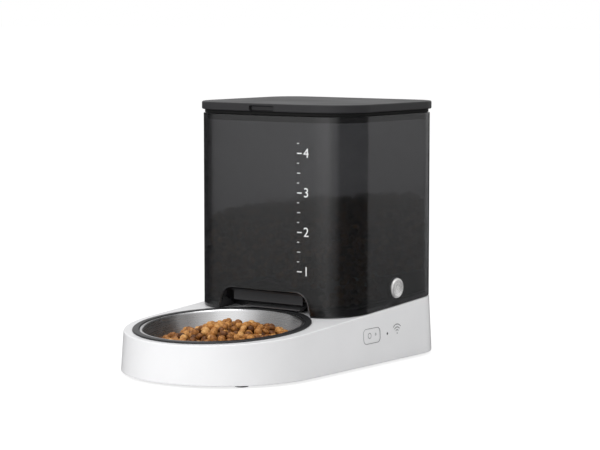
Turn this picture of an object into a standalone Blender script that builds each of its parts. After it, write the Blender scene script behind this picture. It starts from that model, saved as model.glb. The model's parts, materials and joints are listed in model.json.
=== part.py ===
"""Gravity-and-rotor smart pet feeder, built as an assembly of separate pieces.

The feeder has a white D-shaped base with a steel bowl at its front, a smoke-clear food tank over the
back of the base, a metering rotor in the tank's floor and a flat lid. Units are metres, +Z is up, the
front (the bowl) is towards -Y and the control side is +X. The origin is the centre of the foot print.

The base's top slopes down to the front. The bowl, the rotor and its drive stand square to that slope,
so they are placed in a tilted deck frame: x across, v along the slope and w square to it.
"""

import math

import bmesh
import bpy
from mathutils import Matrix, Vector

COLLECTION_NAME = "smart_pet_feeder"
CUTTER_COLLECTION_NAME = "smart_pet_feeder_cutters"

# Clearances and cutting
FIT_GAP = 0.0003
CUT_OVERRUN = 0.004
MERGE_DISTANCE = 0.00001

# Walls of the base
BASE_BACK_RADIUS = 0.0325
BASE_DRAFT = 0.0026
BASE_WALL = 0.0026
BASE_EDGE_RADIUS = 0.0010
FOOT_LIFT = 0.0024
BOTTOM_THICKNESS = 0.0024
BOTTOM_TOP = FOOT_LIFT + BOTTOM_THICKNESS

# Batteries, and the bay that they need at the back
CELL_RADIUS = 0.0071
CELL_LENGTH = 0.0490
CELL_NUB_RADIUS = 0.0027
CELL_NUB_LENGTH = 0.0012
CELL_END_GAP = 0.0030
CELL_SIDE_GAP = 0.0010
CELL_PITCH_X = CELL_LENGTH + CELL_END_GAP
CELL_PITCH_Y = 2 * CELL_RADIUS + CELL_SIDE_GAP
CELL_FLOOR_GAP = 0.0004
HOLDER_END_ROOM = 0.0035
HOLDER_SIDE_ROOM = 0.0023
HOLDER_ROOF_ROOM = 0.0031
HOLDER_LENGTH = CELL_PITCH_X + CELL_LENGTH + 2 * HOLDER_END_ROOM
HOLDER_WIDTH = CELL_PITCH_Y + 2 * CELL_RADIUS + 2 * HOLDER_SIDE_ROOM
HOLDER_TOP = BOTTOM_TOP + CELL_FLOOR_GAP + 2 * CELL_RADIUS + HOLDER_ROOF_ROOM
HOLDER_WALL = 0.0014
HOLDER_BACK_GAP = 0.0080
HOLDER_SCREW_GAP = 0.0170
HOLDER_FRAME_GAP = 0.0030
HATCH_END_MARGIN = 0.0020
HATCH_SIDE_MARGIN = 0.0015
HATCH_LENGTH = HOLDER_LENGTH - 2 * HATCH_END_MARGIN
HATCH_WIDTH = HOLDER_WIDTH - 2 * HATCH_SIDE_MARGIN
HATCH_PLAY = 0.0004
HATCH_CORNER = 0.003
HATCH_RIB_HEIGHT = 0.0004
HATCH_RIB_PITCH = 0.0060
HATCH_RIB_WIDTH = 0.0016
HATCH_RIBS = 3

# Power inlet at the back, beside the battery holder
INLET_Z = 0.018
INLET_WIDTH = 0.0140
INLET_HEIGHT = 0.0080
INLET_DEPTH = 0.0100
INLET_SLOT_WIDTH = 0.0090
INLET_SLOT_HEIGHT = 0.0032
INLET_SLOT_DEPTH = 0.0062
INLET_SLOT_END_SHARE = 0.45
INLET_PLAY = 0.0003
INLET_HOLDER_GAP = 0.0080
INLET_SIDE_MARGIN = 0.0310

# Drive below the deck, with its levels square to the deck from the top down
SHAFT_RADIUS = 0.0040
GEAR_MODULE = 0.001
GEAR_PRESSURE_ANGLE = math.radians(20)
GEAR_BACKLASH = 0.00035
GEAR_CENTRE_EXTRA = 0.0001
OUTPUT_TEETH = 48
IDLER_SMALL_TEETH = 12
IDLER_LARGE_TEETH = 40
PINION_TEETH = 10
IDLER_X = -(GEAR_MODULE * (OUTPUT_TEETH + IDLER_SMALL_TEETH) / 2 + GEAR_CENTRE_EXTRA)
PINION_X = IDLER_X - GEAR_MODULE * (IDLER_LARGE_TEETH + PINION_TEETH) / 2 - GEAR_CENTRE_EXTRA
GEAR_WEB = 0.0022
GEAR_RIM = 0.0030
GEAR_BOSS_RADIUS = 0.0075
SOCKET_RADIUS = 0.0110
SOCKET_HIGH_W = 0.0043
SOCKET_LOW_W = -0.0070
SOCKET_ROOF = 0.0033
DOG_RADIUS = 0.0065
DOG_PLAY = 0.0006
DOG_SIDES = 6
DOG_ROOF_GAP = 0.0020
DOG_HEIGHT = 0.0085
DOG_COVER_GAP = 0.0012
DOG_HIGH_W = SOCKET_HIGH_W - SOCKET_ROOF - DOG_ROOF_GAP
DOG_LOW_W = DOG_HIGH_W - DOG_HEIGHT
COVER_THICKNESS = 0.0020
COVER_HIGH_W = DOG_LOW_W - DOG_COVER_GAP
COVER_LOW_W = COVER_HIGH_W - COVER_THICKNESS
OUTPUT_GEAR_DROP = 0.0153
OUTPUT_GEAR_FACE = 0.0060
OUTPUT_GEAR_HIGH_W = COVER_LOW_W - OUTPUT_GEAR_DROP
OUTPUT_GEAR_LOW_W = OUTPUT_GEAR_HIGH_W - OUTPUT_GEAR_FACE
IDLER_TOP_STEP = 0.0010
IDLER_FACE_GAP = 0.0032
IDLER_FACE = 0.0040
IDLER_HIGH_W = OUTPUT_GEAR_HIGH_W + IDLER_TOP_STEP
IDLER_STEP_W = OUTPUT_GEAR_LOW_W - IDLER_FACE_GAP
IDLER_LOW_W = IDLER_STEP_W - IDLER_FACE
IDLER_PIN_RADIUS = 0.0015
PINION_TOP_STEP = 0.0014
PINION_HIGH_W = IDLER_STEP_W + PINION_TOP_STEP
PINION_BORE = 0.0012
MOTOR_RADIUS = 0.0130
MOTOR_LOW_W = PINION_HIGH_W + FIT_GAP
MOTOR_FLAT = 0.0105
MOTOR_SHAFT_RADIUS = 0.0009
FRAME_GEAR_GAP = 0.0008
FRAME_THICKNESS = 0.0015
FRAME_HIGH_W = IDLER_LOW_W - FRAME_GEAR_GAP
FRAME_LOW_W = FRAME_HIGH_W - FRAME_THICKNESS
FRAME_SIDE_ROOM = 0.0020
FRAME_HALF_V = GEAR_MODULE * OUTPUT_TEETH / 2 + GEAR_MODULE + FRAME_SIDE_ROOM
FRAME_MARGIN = 0.0090
FRAME_POST_RADIUS = 0.0030
FRAME_CORNER = 0.004
FRAME_POST_INSET = 0.0040
FRAME_FLOOR_ROOM = 0.0087
DECK_HOLE_ROOM = 0.0030
DECK_HOLE_RADIUS = SOCKET_RADIUS + DECK_HOLE_ROOM

# Overall sizes: what the paddle wheel, the batteries, the gears and the bowl need
ROTOR_RADIUS = 0.0612
ROTOR_SIDE_GAP = 0.0115
ROTOR_FRONT_GAP = 0.0279
ROTOR_BACK_GAP = 0.0079
TANK_WALL = 0.0026
TANK_SIDE_MARGIN = 0.0037
TANK_BACK_MARGIN = 0.0029
TANK_RING_OVERLAP = 0.0193
LATCH_BOX_DEPTH = 0.0160
BOWL_RING_MARGIN = 0.0140
BOWL_FRONT_MARGIN = 0.0082
BOWL_DEPTH = 0.030
BOWL_FLOOR_ROOM = 0.0019
REAR_SCREW_SIDE_INSET = 0.012
TANK_WIDTH = 2 * (ROTOR_RADIUS + ROTOR_SIDE_GAP + LATCH_BOX_DEPTH + TANK_WALL)
BAY_WIDTH = (
    INLET_SIDE_MARGIN
    + INLET_WIDTH
    + INLET_HOLDER_GAP
    + HOLDER_LENGTH
    + HOLDER_SCREW_GAP
    + REAR_SCREW_SIDE_INSET
)
BASE_WIDTH = max(TANK_WIDTH + 2 * TANK_SIDE_MARGIN, BAY_WIDTH)
BOWL_RING_RADIUS = BASE_WIDTH / 2 - BOWL_RING_MARGIN
BACK_REACH = max(
    ROTOR_RADIUS + ROTOR_BACK_GAP + TANK_BACK_MARGIN,
    FRAME_HALF_V + HOLDER_FRAME_GAP + HOLDER_WIDTH + HOLDER_BACK_GAP,
)
FRONT_REACH = BOWL_FRONT_MARGIN + 2 * BOWL_RING_RADIUS - TANK_RING_OVERLAP
BASE_LENGTH = FRONT_REACH + ROTOR_FRONT_GAP + ROTOR_RADIUS + BACK_REACH
BASE_FRONT_HEIGHT = BOTTOM_TOP + BOWL_DEPTH + BOWL_FLOOR_ROOM
BASE_BACK_HEIGHT = BOTTOM_TOP - FRAME_LOW_W + FRAME_FLOOR_ROOM
DECK_SLOPE = (BASE_BACK_HEIGHT - BASE_FRONT_HEIGHT) / BASE_LENGTH
DECK_TILT = math.atan(DECK_SLOPE)
BOWL_CENTRE_V = BOWL_FRONT_MARGIN + BOWL_RING_RADIUS - BASE_LENGTH / 2
TANK_FRONT_Y = FRONT_REACH - BASE_LENGTH / 2
TANK_BACK_Y = BASE_LENGTH / 2 - TANK_BACK_MARGIN
ROTOR_V = TANK_FRONT_Y + ROTOR_FRONT_GAP + ROTOR_RADIUS

# Bowl and the ring that it hangs in
BOWL_RING_WIDTH = 0.0046
BOWL_RING_HEIGHT = 0.0015
BOWL_RING_WALL = 0.0016
BOWL_RING_SKIRT = 0.0090
BOWL_LEDGE_DROP = 0.0010
BOWL_LEDGE_WIDTH = 0.0029
BOWL_SEAT_WIDTH = 0.0020
BOWL_WALL_GAP = 0.0019
BOWL_FLARE = 0.0216
BOWL_CORNER_RADIUS = 0.014
BOWL_SHEET = 0.0009
BOWL_RIM_RISE = 0.0012
BOWL_HOLE_RADIUS = BOWL_RING_RADIUS - BOWL_SEAT_WIDTH
BOWL_MOUTH_RADIUS = BOWL_RING_RADIUS - BOWL_RING_WIDTH - BOWL_LEDGE_WIDTH - BOWL_WALL_GAP
BOWL_FLOOR_RADIUS = BOWL_MOUTH_RADIUS - BOWL_FLARE

# Outlet arch in the tank's front, as wide as the ring where the ring passes under it
ARCH_RING_GAP = 0.00112
ARCH_LEAN = 0.0031
ARCH_HEIGHT = 0.0220
ARCH_CORNER_RADIUS = 0.014
ARCH_CUT_REACH = 0.0091
RING_CHORD_HALF = math.sqrt(BOWL_RING_RADIUS ** 2 - (BOWL_RING_RADIUS - TANK_RING_OVERLAP) ** 2)
ARCH_FOOT_HALF = RING_CHORD_HALF + ARCH_RING_GAP
ARCH_SHOULDER_HALF = ARCH_FOOT_HALF - ARCH_LEAN

# Tank, seen from above and from the side
TANK_ARCH_OVERLAP = 0.0023
TANK_FRONT_RADIUS = TANK_WIDTH / 2 - ARCH_FOOT_HALF + TANK_ARCH_OVERLAP
TANK_CORNER_STEP = 0.0045
TANK_BACK_RADIUS = BASE_BACK_RADIUS - TANK_CORNER_STEP
TANK_FRONT_BULGE = 0.0018
TANK_TOP = 0.2298
TANK_SEAM = 0.0005

# Lid and its seal
LID_SEAM = 0.0034
LID_THICKNESS = 0.0074
LID_UNDER = TANK_TOP + LID_SEAM
LID_TOP = LID_UNDER + LID_THICKNESS
LID_OVERHANG = 0.0016
LID_EDGE_RADIUS = 0.0012
LID_ROOF = 0.0024
LID_PLUG_DEPTH = 0.0092
LID_PLUG_WALL = 0.0020
LID_PLUG_CLEARANCE = 0.0014
GASKET_STEP = 0.0012
NOTCH_WIDTH = 0.0284
NOTCH_HEIGHT = 0.0052
NOTCH_DEPTH = 0.0022
NOTCH_RADIUS = 0.0014

# Desiccant box under the lid
DRYER_LENGTH = 0.070
DRYER_WIDTH = 0.044
DRYER_DEPTH = 0.0130
DRYER_WALL = 0.0016
DRYER_CORNER = 0.006
DRYER_COVER_THICKNESS = 0.0018
DRYER_VENT_RADIUS = 0.0016
DRYER_VENT_PITCH = 0.0100
DRYER_VENT_COLUMNS = 5
DRYER_VENT_ROWS = 3

# Hood, window, ramp, flap and baffle behind the arch
HOOD_WALL = 0.0018
HOOD_LIFT = 0.0006
HOOD_INSIDE_DEPTH = 0.0251
HOOD_BACK_WALL = 0.0045
HOOD_INSIDE_V = TANK_FRONT_Y + HOOD_INSIDE_DEPTH
HOOD_DEPTH_V = HOOD_INSIDE_V + HOOD_BACK_WALL
WINDOW_SIDE_WALL = 0.0185
WINDOW_TOP_WALL = 0.0040
WINDOW_HALF = ARCH_SHOULDER_HALF - WINDOW_SIDE_WALL
WINDOW_HEIGHT = ARCH_HEIGHT - WINDOW_TOP_WALL
RAMP_TOP_W = 0.0070
RAMP_LIP_W = 0.0034
RAMP_LIP_SETBACK = 0.0115
RAMP_KNEE_SETBACK = 0.0040
RAMP_LIP_V = HOOD_INSIDE_V - RAMP_LIP_SETBACK
RAMP_KNEE_V = HOOD_INSIDE_V - RAMP_KNEE_SETBACK
RAMP_KNEE_W = 0.0024
RAMP_HEEL_W = 0.0044
RAMP_SHEET = 0.0010
FLAP_SIDE_GAP = 0.0105
FLAP_HALF = ARCH_SHOULDER_HALF - FLAP_SIDE_GAP
FLAP_HEIGHT = 0.0095
FLAP_THICKNESS = 0.0014
FLAP_PIN_RADIUS = 0.0012
FLAP_FRONT_GAP = 0.0086
FLAP_ROOF_GAP = 0.0030
FLAP_V = TANK_FRONT_Y + FLAP_FRONT_GAP
FLAP_W = ARCH_HEIGHT - FLAP_ROOF_GAP
FLAP_LEAN_SHARE = -0.095
BAFFLE_STEP = 0.0010
BAFFLE_HALF = WINDOW_HALF - BAFFLE_STEP
BAFFLE_RISE = 0.0080
BAFFLE_SHEET = 0.0018
BAFFLE_FRONT_GAP = 0.0096
BAFFLE_HUB_GAP = 0.0260
BAFFLE_FRONT_V = TANK_FRONT_Y + BAFFLE_FRONT_GAP
BAFFLE_BACK_V = ROTOR_V - BAFFLE_HUB_GAP

# Tank floor, from the underside of its pad up
FLOOR_SOCKET_GAP = 0.0005
FLOOR_PAD_THICKNESS = 0.0022
FLOOR_PAD_SINK = 0.0005
FLOOR_THICKNESS = 0.0023
FLOOR_PAD_UNDER_W = SOCKET_HIGH_W + FLOOR_SOCKET_GAP
FLOOR_PAD_TOP_W = FLOOR_PAD_UNDER_W + FLOOR_PAD_THICKNESS
FLOOR_UNDER_W = FLOOR_PAD_TOP_W - FLOOR_PAD_SINK
FLOOR_TOP_W = FLOOR_UNDER_W + FLOOR_THICKNESS
FLOOR_PAD_WALL = 0.0020
FLOOR_HOLE_PLAY = 0.0004

# Metering rotor
ROTOR_PADDLES = 6
ROTOR_PADDLE_THICKNESS = 0.0024
ROTOR_PADDLE_SWEEP_SHARE = 0.22
ROTOR_FLOOR_GAP = 0.0006
ROTOR_TOP_STEP = 0.0016
ROTOR_LOW_W = FLOOR_PAD_TOP_W + ROTOR_FLOOR_GAP
ROTOR_HIGH_W = ARCH_HEIGHT + HOOD_WALL - ROTOR_TOP_STEP
ROTOR_CLEARANCE = 0.0008
ROTOR_SLEEVE_WALL = 0.0030
HUB_RADIUS = 0.0120
HUB_TOP_STEP = 0.0040
HUB_HIGH_W = ROTOR_HIGH_W + HUB_TOP_STEP
HUB_STUB_RADIUS = 0.0050
HUB_STUB_LOW_W = SOCKET_HIGH_W + FIT_GAP
FLOOR_HOLE_RADIUS = HUB_STUB_RADIUS + FLOOR_HOLE_PLAY
STIRRER_HEIGHT = 0.0170
STIRRER_ARM_RADIUS = 0.0022
STIRRER_ARM_REACH = 0.0225
STIRRER_ARM_LIFT = 0.0058
STIRRER_ARM_W = HUB_HIGH_W + STIRRER_ARM_LIFT

# Ribs and bosses of the base
LOCATOR_GAP = 0.0005
LOCATOR_WIDTH = 0.0020
LOCATOR_HEIGHT = 0.0040
LOCATOR_FRONT_GAP = 0.0011
LOCATOR_FRONT_Y = TANK_FRONT_Y + TANK_FRONT_RADIUS + LOCATOR_FRONT_GAP
LOCATOR_BREAK_HALF = 0.010
SCREW_BOSS_RADIUS = 0.0035
SCREW_HOLE_RADIUS = 0.0015
SCREW_RADIUS = 0.0012
SCREW_HEAD_RADIUS = 0.0032
SCREW_HEAD_HEIGHT = 0.0011
SCREW_LENGTH = 0.0110
SCREW_SINK_RADIUS = 0.0036
SCREW_SINK_DEPTH = 0.0014
FRONT_SCREW_X = 0.025
FRONT_SCREW_INSET = 0.013
FRONT_SCREW_Y = FRONT_SCREW_INSET - BASE_LENGTH / 2
REAR_SCREW_BACK_INSET = 0.044
REAR_SCREW_X = BASE_WIDTH / 2 - REAR_SCREW_SIDE_INSET
REAR_SCREW_Y = BASE_LENGTH / 2 - REAR_SCREW_BACK_INSET
FOOT_RADIUS = 0.0070
FOOT_TAPER = 0.0008
FRONT_FOOT_SIDE_INSET = 0.035
FRONT_FOOT_INSET = 0.041
REAR_FOOT_SIDE_INSET = 0.019
REAR_FOOT_BACK_INSET = 0.028
FRONT_FOOT_X = BASE_WIDTH / 2 - FRONT_FOOT_SIDE_INSET
FRONT_FOOT_Y = FRONT_FOOT_INSET - BASE_LENGTH / 2
REAR_FOOT_X = BASE_WIDTH / 2 - REAR_FOOT_SIDE_INSET
REAR_FOOT_Y = BASE_LENGTH / 2 - REAR_FOOT_BACK_INSET

# Places of the battery holder and the inlet
HOLDER_X = REAR_SCREW_X - HOLDER_SCREW_GAP - HOLDER_LENGTH / 2
HOLDER_Y = BASE_LENGTH / 2 - HOLDER_BACK_GAP - HOLDER_WIDTH / 2
INLET_X = HOLDER_X - HOLDER_LENGTH / 2 - INLET_HOLDER_GAP - INLET_WIDTH / 2

# Controls on the +X side, and the board behind them
BOARD_INSET = 0.0150
BOARD_THICKNESS = 0.0016
BOARD_RING_GAP = 0.0038
BOARD_BACK_REACH = 0.0080
BOARD_TOP_GAP = 0.00342
BOARD_X = BASE_WIDTH / 2 - BOARD_INSET
BOARD_FRONT_Y = TANK_FRONT_Y + TANK_RING_OVERLAP + BOARD_RING_GAP
BOARD_BACK_Y = ROTOR_V + BOARD_BACK_REACH
BUTTON_BOARD_PLACE = 0.0174
BUTTON_Y = BOARD_FRONT_Y + BUTTON_BOARD_PLACE
BUTTON_Z = 0.0293
BUTTON_LENGTH = 0.0262
BUTTON_HEIGHT = 0.0134
BUTTON_RADIUS = 0.0040
BUTTON_SINK = 0.0001
BUTTON_DEPTH = 0.0040
BUTTON_PLAY = 0.0003
BUTTON_FLANGE = 0.0014
BUTTON_FLANGE_THICKNESS = 0.0012
BUTTON_TRAVEL = 0.0010
SWITCH_SIZE = 0.0062
SWITCH_GAP = 0.0005
LAMP_BUTTON_PITCH = 0.0252
LAMP_Y = BUTTON_Y + LAMP_BUTTON_PITCH
LAMP_Z = 0.0283
LAMP_RADIUS = 0.0011
LAMP_PLAY = 0.0003
RADIO_LAMP_PITCH = 0.0094
RADIO_LENGTH = 0.018
RADIO_HEIGHT = 0.0150
RADIO_THICKNESS = 0.0024
RADIO_Y = LAMP_Y + RADIO_LAMP_PITCH
RADIO_Z = 0.0240

# Tank release buttons and their housings
RELEASE_LEAD = 0.0050
RELEASE_LIFT = 0.01671
RELEASE_Y = ROTOR_V - RELEASE_LEAD
RELEASE_Z = BASE_FRONT_HEIGHT + (RELEASE_Y + BASE_LENGTH / 2) * DECK_SLOPE + RELEASE_LIFT
RELEASE_RADIUS = 0.0092
RELEASE_PLAY = 0.0004
RELEASE_PROUD = 0.0020
RELEASE_EDGE = 0.0006
RELEASE_FLANGE_STEP = 0.0009
RELEASE_FLANGE_RADIUS = RELEASE_RADIUS + RELEASE_FLANGE_STEP
RELEASE_FLANGE_THICKNESS = 0.0018
RELEASE_TRAVEL = 0.0025
SPRING_RADIUS = 0.0056
SPRING_WIRE = 0.0004
SPRING_TURNS = 4
SPRING_POINTS_PER_TURN = 7
LATCH_BOX_FRONT_REACH = 0.0150
LATCH_BOX_BACK_REACH = 0.0580
LATCH_BOX_RISE = 0.0119
LATCH_BOX_FRONT_Y = RELEASE_Y - LATCH_BOX_FRONT_REACH
LATCH_BOX_BACK_Y = RELEASE_Y + LATCH_BOX_BACK_REACH
LATCH_BOX_TOP = RELEASE_Z + LATCH_BOX_RISE
LATCH_BOX_FLOOR = 0.0026
LATCH_BOX_CORNER = 0.003
LATCH_HOLE_PLAY = 0.0004
LATCH_ARM_THICKNESS = 0.0022
LATCH_ARM_HALF = 0.0050
LATCH_NOSE_W = -0.0036
LATCH_SLOT_PLAY = 0.0006

# Facet counts
FRONT_ARC_STEPS = 28
CORNER_STEPS = 5
BULGE_STEPS = 5
SMALL_CORNER_STEPS = 3
ARCH_CORNER_STEPS = 6
BOWL_STEPS = 40
ROUND_STEPS = 24
SMALL_ROUND_STEPS = 10
FLANK_POINTS = 2
DRYER_VENT_STEPS = 6
BOWL_CORNER_STEPS = 3


def deck_height(y, lift=0.0):
    """Height of the base's sloping top at a place y, plus a lift."""
    return BASE_FRONT_HEIGHT + (y + BASE_LENGTH / 2) * DECK_SLOPE + lift


def clear_scene():
    """Removes the scene's objects."""
    for item in list(bpy.data.objects):
        bpy.data.objects.remove(item, do_unlink=True)


def make_collection(name):
    """A new collection linked to the scene."""
    collection = bpy.data.collections.new(name)
    bpy.context.scene.collection.children.link(collection)
    return collection


def make_material(name, colour, roughness, metallic=0.0, alpha=1.0):
    """A Principled material with one colour, roughness and metallic value."""
    material = bpy.data.materials.new(name)
    material.use_nodes = True
    shader = material.node_tree.nodes["Principled BSDF"]
    shader.inputs["Base Color"].default_value = (*colour, 1.0)
    shader.inputs["Roughness"].default_value = roughness
    shader.inputs["Metallic"].default_value = metallic
    shader.inputs["Alpha"].default_value = alpha
    return material


def arc(centre, radius, start, end, steps):
    """Points of an arc, angles in radians, both ends included."""
    angles = [start + (end - start) * i / steps for i in range(steps + 1)]
    return [(centre[0] + radius * math.cos(a), centre[1] + radius * math.sin(a)) for a in angles]


def rounded_rectangle(length, width, radius, steps=SMALL_CORNER_STEPS, centre=(0.0, 0.0)):
    """Outline of a rectangle with round corners, counter-clockwise."""
    half_x = length / 2 - radius
    half_y = width / 2 - radius
    corners = ((-1, -1, math.pi), (1, -1, 1.5 * math.pi), (1, 1, 0.0), (-1, 1, 0.5 * math.pi))
    points = []
    for sign_x, sign_y, start in corners:
        middle = (centre[0] + sign_x * half_x, centre[1] + sign_y * half_y)
        points += arc(middle, radius, start, start + math.pi / 2, steps)
    return points


def base_plan(inset):
    """D-shaped outline of the base: a half circle in front and two round corners at the back."""
    half = BASE_WIDTH / 2 - inset
    back = BASE_LENGTH / 2 - inset
    radius = BASE_BACK_RADIUS - inset
    front_centre = (0.0, (BASE_WIDTH - BASE_LENGTH) / 2)
    points = arc(front_centre, half, math.pi, 2 * math.pi, FRONT_ARC_STEPS)
    points += arc((half - radius, back - radius), radius, 0.0, math.pi / 2, CORNER_STEPS)
    points += arc((radius - half, back - radius), radius, math.pi / 2, math.pi, CORNER_STEPS)
    return points


def tank_plan(inset):
    """Outline of the tank: round corners and a slightly bowed front."""
    half = TANK_WIDTH / 2 - inset
    front = TANK_FRONT_Y + inset
    back = TANK_BACK_Y - inset
    radius = TANK_FRONT_RADIUS - inset
    rear = TANK_BACK_RADIUS - inset
    flat = half - radius
    points = arc((-flat, front + radius), radius, math.pi, 1.5 * math.pi, CORNER_STEPS)
    for i in range(1, BULGE_STEPS):
        share = 2 * i / BULGE_STEPS - 1
        points.append((share * flat, front - TANK_FRONT_BULGE * (1 - share * share)))
    points += arc((flat, front + radius), radius, 1.5 * math.pi, 2 * math.pi, CORNER_STEPS)
    points += arc((half - rear, back - rear), rear, 0.0, math.pi / 2, CORNER_STEPS)
    points += arc((rear - half, back - rear), rear, math.pi / 2, math.pi, CORNER_STEPS)
    return points


def arch_outline(grow, low):
    """Outline of the outlet arch in x and w, grown outwards, with its feet at a height low."""
    radius = ARCH_CORNER_RADIUS + grow
    shoulder = ARCH_SHOULDER_HALF - ARCH_CORNER_RADIUS
    height = ARCH_HEIGHT - ARCH_CORNER_RADIUS
    spread_share = (ARCH_FOOT_HALF - ARCH_SHOULDER_HALF) / height
    foot = ARCH_FOOT_HALF + grow - low * spread_share
    points = [(-foot, low)]
    points += arc((-shoulder, height), radius, math.pi, math.pi / 2, ARCH_CORNER_STEPS)
    points += arc((shoulder, height), radius, math.pi / 2, 0.0, ARCH_CORNER_STEPS)
    points.append((foot, low))
    return points


def arch_half(height):
    """Half width inside the outlet arch at a height in its round shoulders."""
    rise = height - (ARCH_HEIGHT - ARCH_CORNER_RADIUS)
    return ARCH_SHOULDER_HALF - ARCH_CORNER_RADIUS + math.sqrt(ARCH_CORNER_RADIUS ** 2 - rise ** 2)


def height_of(level, x, y):
    """A level is a number or a function of x and y."""
    return level(x, y) if callable(level) else level


def add_prism(bm, outline, low, high, top_outline=None):
    """Extrudes an outline from one level to another. The top may have another outline."""
    ring = [bm.verts.new((x, y, height_of(low, x, y))) for x, y in outline]
    face = bm.faces.new(ring)
    grown = bmesh.ops.extrude_face_region(bm, geom=[face], use_keep_orig=True)
    upper = [item for item in grown["geom"] if isinstance(item, bmesh.types.BMVert)]
    places = {(vert.co.x, vert.co.y): point for vert, point in zip(ring, top_outline or outline)}
    for vert in upper:
        x, y = places[(vert.co.x, vert.co.y)]
        vert.co = (x, y, height_of(high, x, y))
    return ring + upper


def add_box(bm, low, high):
    """A box between two corners."""
    low, high = Vector(low), Vector(high)
    size = high - low
    matrix = Matrix.Translation((low + high) / 2) @ Matrix.Diagonal((*size, 1.0))
    return bmesh.ops.create_cube(bm, size=1.0, matrix=matrix)["verts"]


def add_cylinder(bm, start, end, radius, steps=ROUND_STEPS, end_radius=None):
    """A cylinder or cone from one point to another."""
    start, end = Vector(start), Vector(end)
    line = end - start
    turn = line.to_track_quat("Z", "Y").to_matrix().to_4x4()
    made = bmesh.ops.create_cone(
        bm,
        cap_ends=True,
        segments=steps,
        radius1=radius,
        radius2=radius if end_radius is None else end_radius,
        depth=line.length,
        matrix=Matrix.Translation((start + end) / 2) @ turn,
    )
    return made["verts"]


def turn_points(bm, verts, matrix):
    """Moves vertices by a matrix."""
    bmesh.ops.transform(bm, matrix=matrix, verts=verts)


def to_mesh(bm, name):
    """Closes a bmesh into a mesh with its faces pointing out."""
    bmesh.ops.recalc_face_normals(bm, faces=bm.faces)
    mesh = bpy.data.meshes.new(name)
    bm.to_mesh(mesh)
    bm.free()
    return mesh


X_TO_DEPTH = Matrix(((1, 0, 0, 0), (0, 0, 1, 0), (0, 1, 0, 0), (0, 0, 0, 1)))
"""Takes an outline in x and w, extruded in z, to one that is extruded along y."""


class Builder:
    """Makes objects in their collection and keeps the deck frame and the cutters."""

    def __init__(self):
        self.parts = make_collection(COLLECTION_NAME)
        self.cutters = make_collection(CUTTER_COLLECTION_NAME)
        self.deck = bpy.data.objects.new("deck_frame", None)
        self.deck.location = (0.0, 0.0, deck_height(0.0))
        self.deck.rotation_euler = (DECK_TILT, 0.0, 0.0)
        self.parts.objects.link(self.deck)
        self.cutter_count = 0

    def empty(self, name, location, parent=None, rotation=(0.0, 0.0, 0.0)):
        """An empty on a joint's axis."""
        item = bpy.data.objects.new(name, None)
        item.location = location
        item.rotation_euler = rotation
        item.parent = parent
        self.parts.objects.link(item)
        return item

    def part(self, name, bm, material, parent=None, location=(0.0, 0.0, 0.0), smooth=30):
        """One named piece from a bmesh, shaded smooth below an angle in degrees."""
        mesh = to_mesh(bm, name)
        return self.part_from_mesh(name, mesh, material, parent, location, smooth)

    def part_from_mesh(self, name, mesh, material, parent=None, location=(0.0, 0.0, 0.0), smooth=30):
        """One named piece from a mesh."""
        item = bpy.data.objects.new(name, mesh)
        item.location = location
        item.parent = parent
        if material:
            mesh.materials.append(material)
        if mesh.polygons:
            mesh.shade_smooth()
            mesh.set_sharp_from_angle(angle=math.radians(smooth))
        self.parts.objects.link(item)
        return item

    def cutter(self, bm, parent=None, location=(0.0, 0.0, 0.0), rotation=(0.0, 0.0, 0.0)):
        """A hidden operand for a Boolean."""
        self.cutter_count += 1
        name = f"cutter_{self.cutter_count:03d}"
        item = bpy.data.objects.new(name, to_mesh(bm, name))
        item.location = location
        item.rotation_euler = rotation
        item.parent = parent
        item.hide_render = True
        item.display_type = "WIRE"
        self.cutters.objects.link(item)
        return item

    def ring_cutter(self, inner, outer, low, high, parent=None):
        """A hidden turned ring for a Boolean."""
        self.cutter_count += 1
        name = f"cutter_{self.cutter_count:03d}"
        profile = [(outer, high), (outer, low), (inner, low), (inner, high)]
        item = self.turned(name, profile, None, parent)
        self.parts.objects.unlink(item)
        self.cutters.objects.link(item)
        item.hide_render = True
        item.display_type = "WIRE"
        return item

    def turned(self, name, profile, material, parent=None, location=(0.0, 0.0, 0.0), steps=ROUND_STEPS):
        """A turned piece: a profile of radius and height with a Screw modifier."""
        on_axis = profile[0][0] == 0.0 and profile[-1][0] == 0.0
        count = len(profile)
        edges = [(i, i + 1) for i in range(count - 1)]
        if not on_axis:
            edges.append((count - 1, 0))
        mesh = bpy.data.meshes.new(name)
        mesh.from_pydata([(radius, 0.0, height) for radius, height in profile], edges, [])
        item = self.part_from_mesh(name, mesh, material, parent, location)
        screw = item.modifiers.new("turn", "SCREW")
        screw.axis = "Z"
        screw.steps = steps
        screw.render_steps = steps
        screw.use_merge_vertices = True
        screw.merge_threshold = MERGE_DISTANCE
        screw.use_smooth_shade = True
        return item


def boolean(item, other, operation="DIFFERENCE"):
    """Adds a Boolean modifier."""
    modifier = item.modifiers.new(operation.lower(), "BOOLEAN")
    modifier.operation = operation
    modifier.solver = "EXACT"
    modifier.object = other
    return modifier


def bevel(item, width, segments=2, angle=50):
    """Rounds the edges that are sharper than an angle in degrees."""
    modifier = item.modifiers.new("round", "BEVEL")
    modifier.width = width
    modifier.segments = segments
    modifier.limit_method = "ANGLE"
    modifier.angle_limit = math.radians(angle)
    return modifier


def mirror_sides():
    """The two sides of the feeder and their names."""
    return (("right", 1), ("left", -1))


def side_draft_x(y, z):
    """Outer face of the base's side wall at a place."""
    share = (z - FOOT_LIFT) / (deck_height(y) - FOOT_LIFT)
    return BASE_WIDTH / 2 - BASE_DRAFT * share


def side_draft_angle(y):
    """Lean of the base's side wall at a place y."""
    return math.atan(BASE_DRAFT / (deck_height(y) - FOOT_LIFT))


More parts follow.
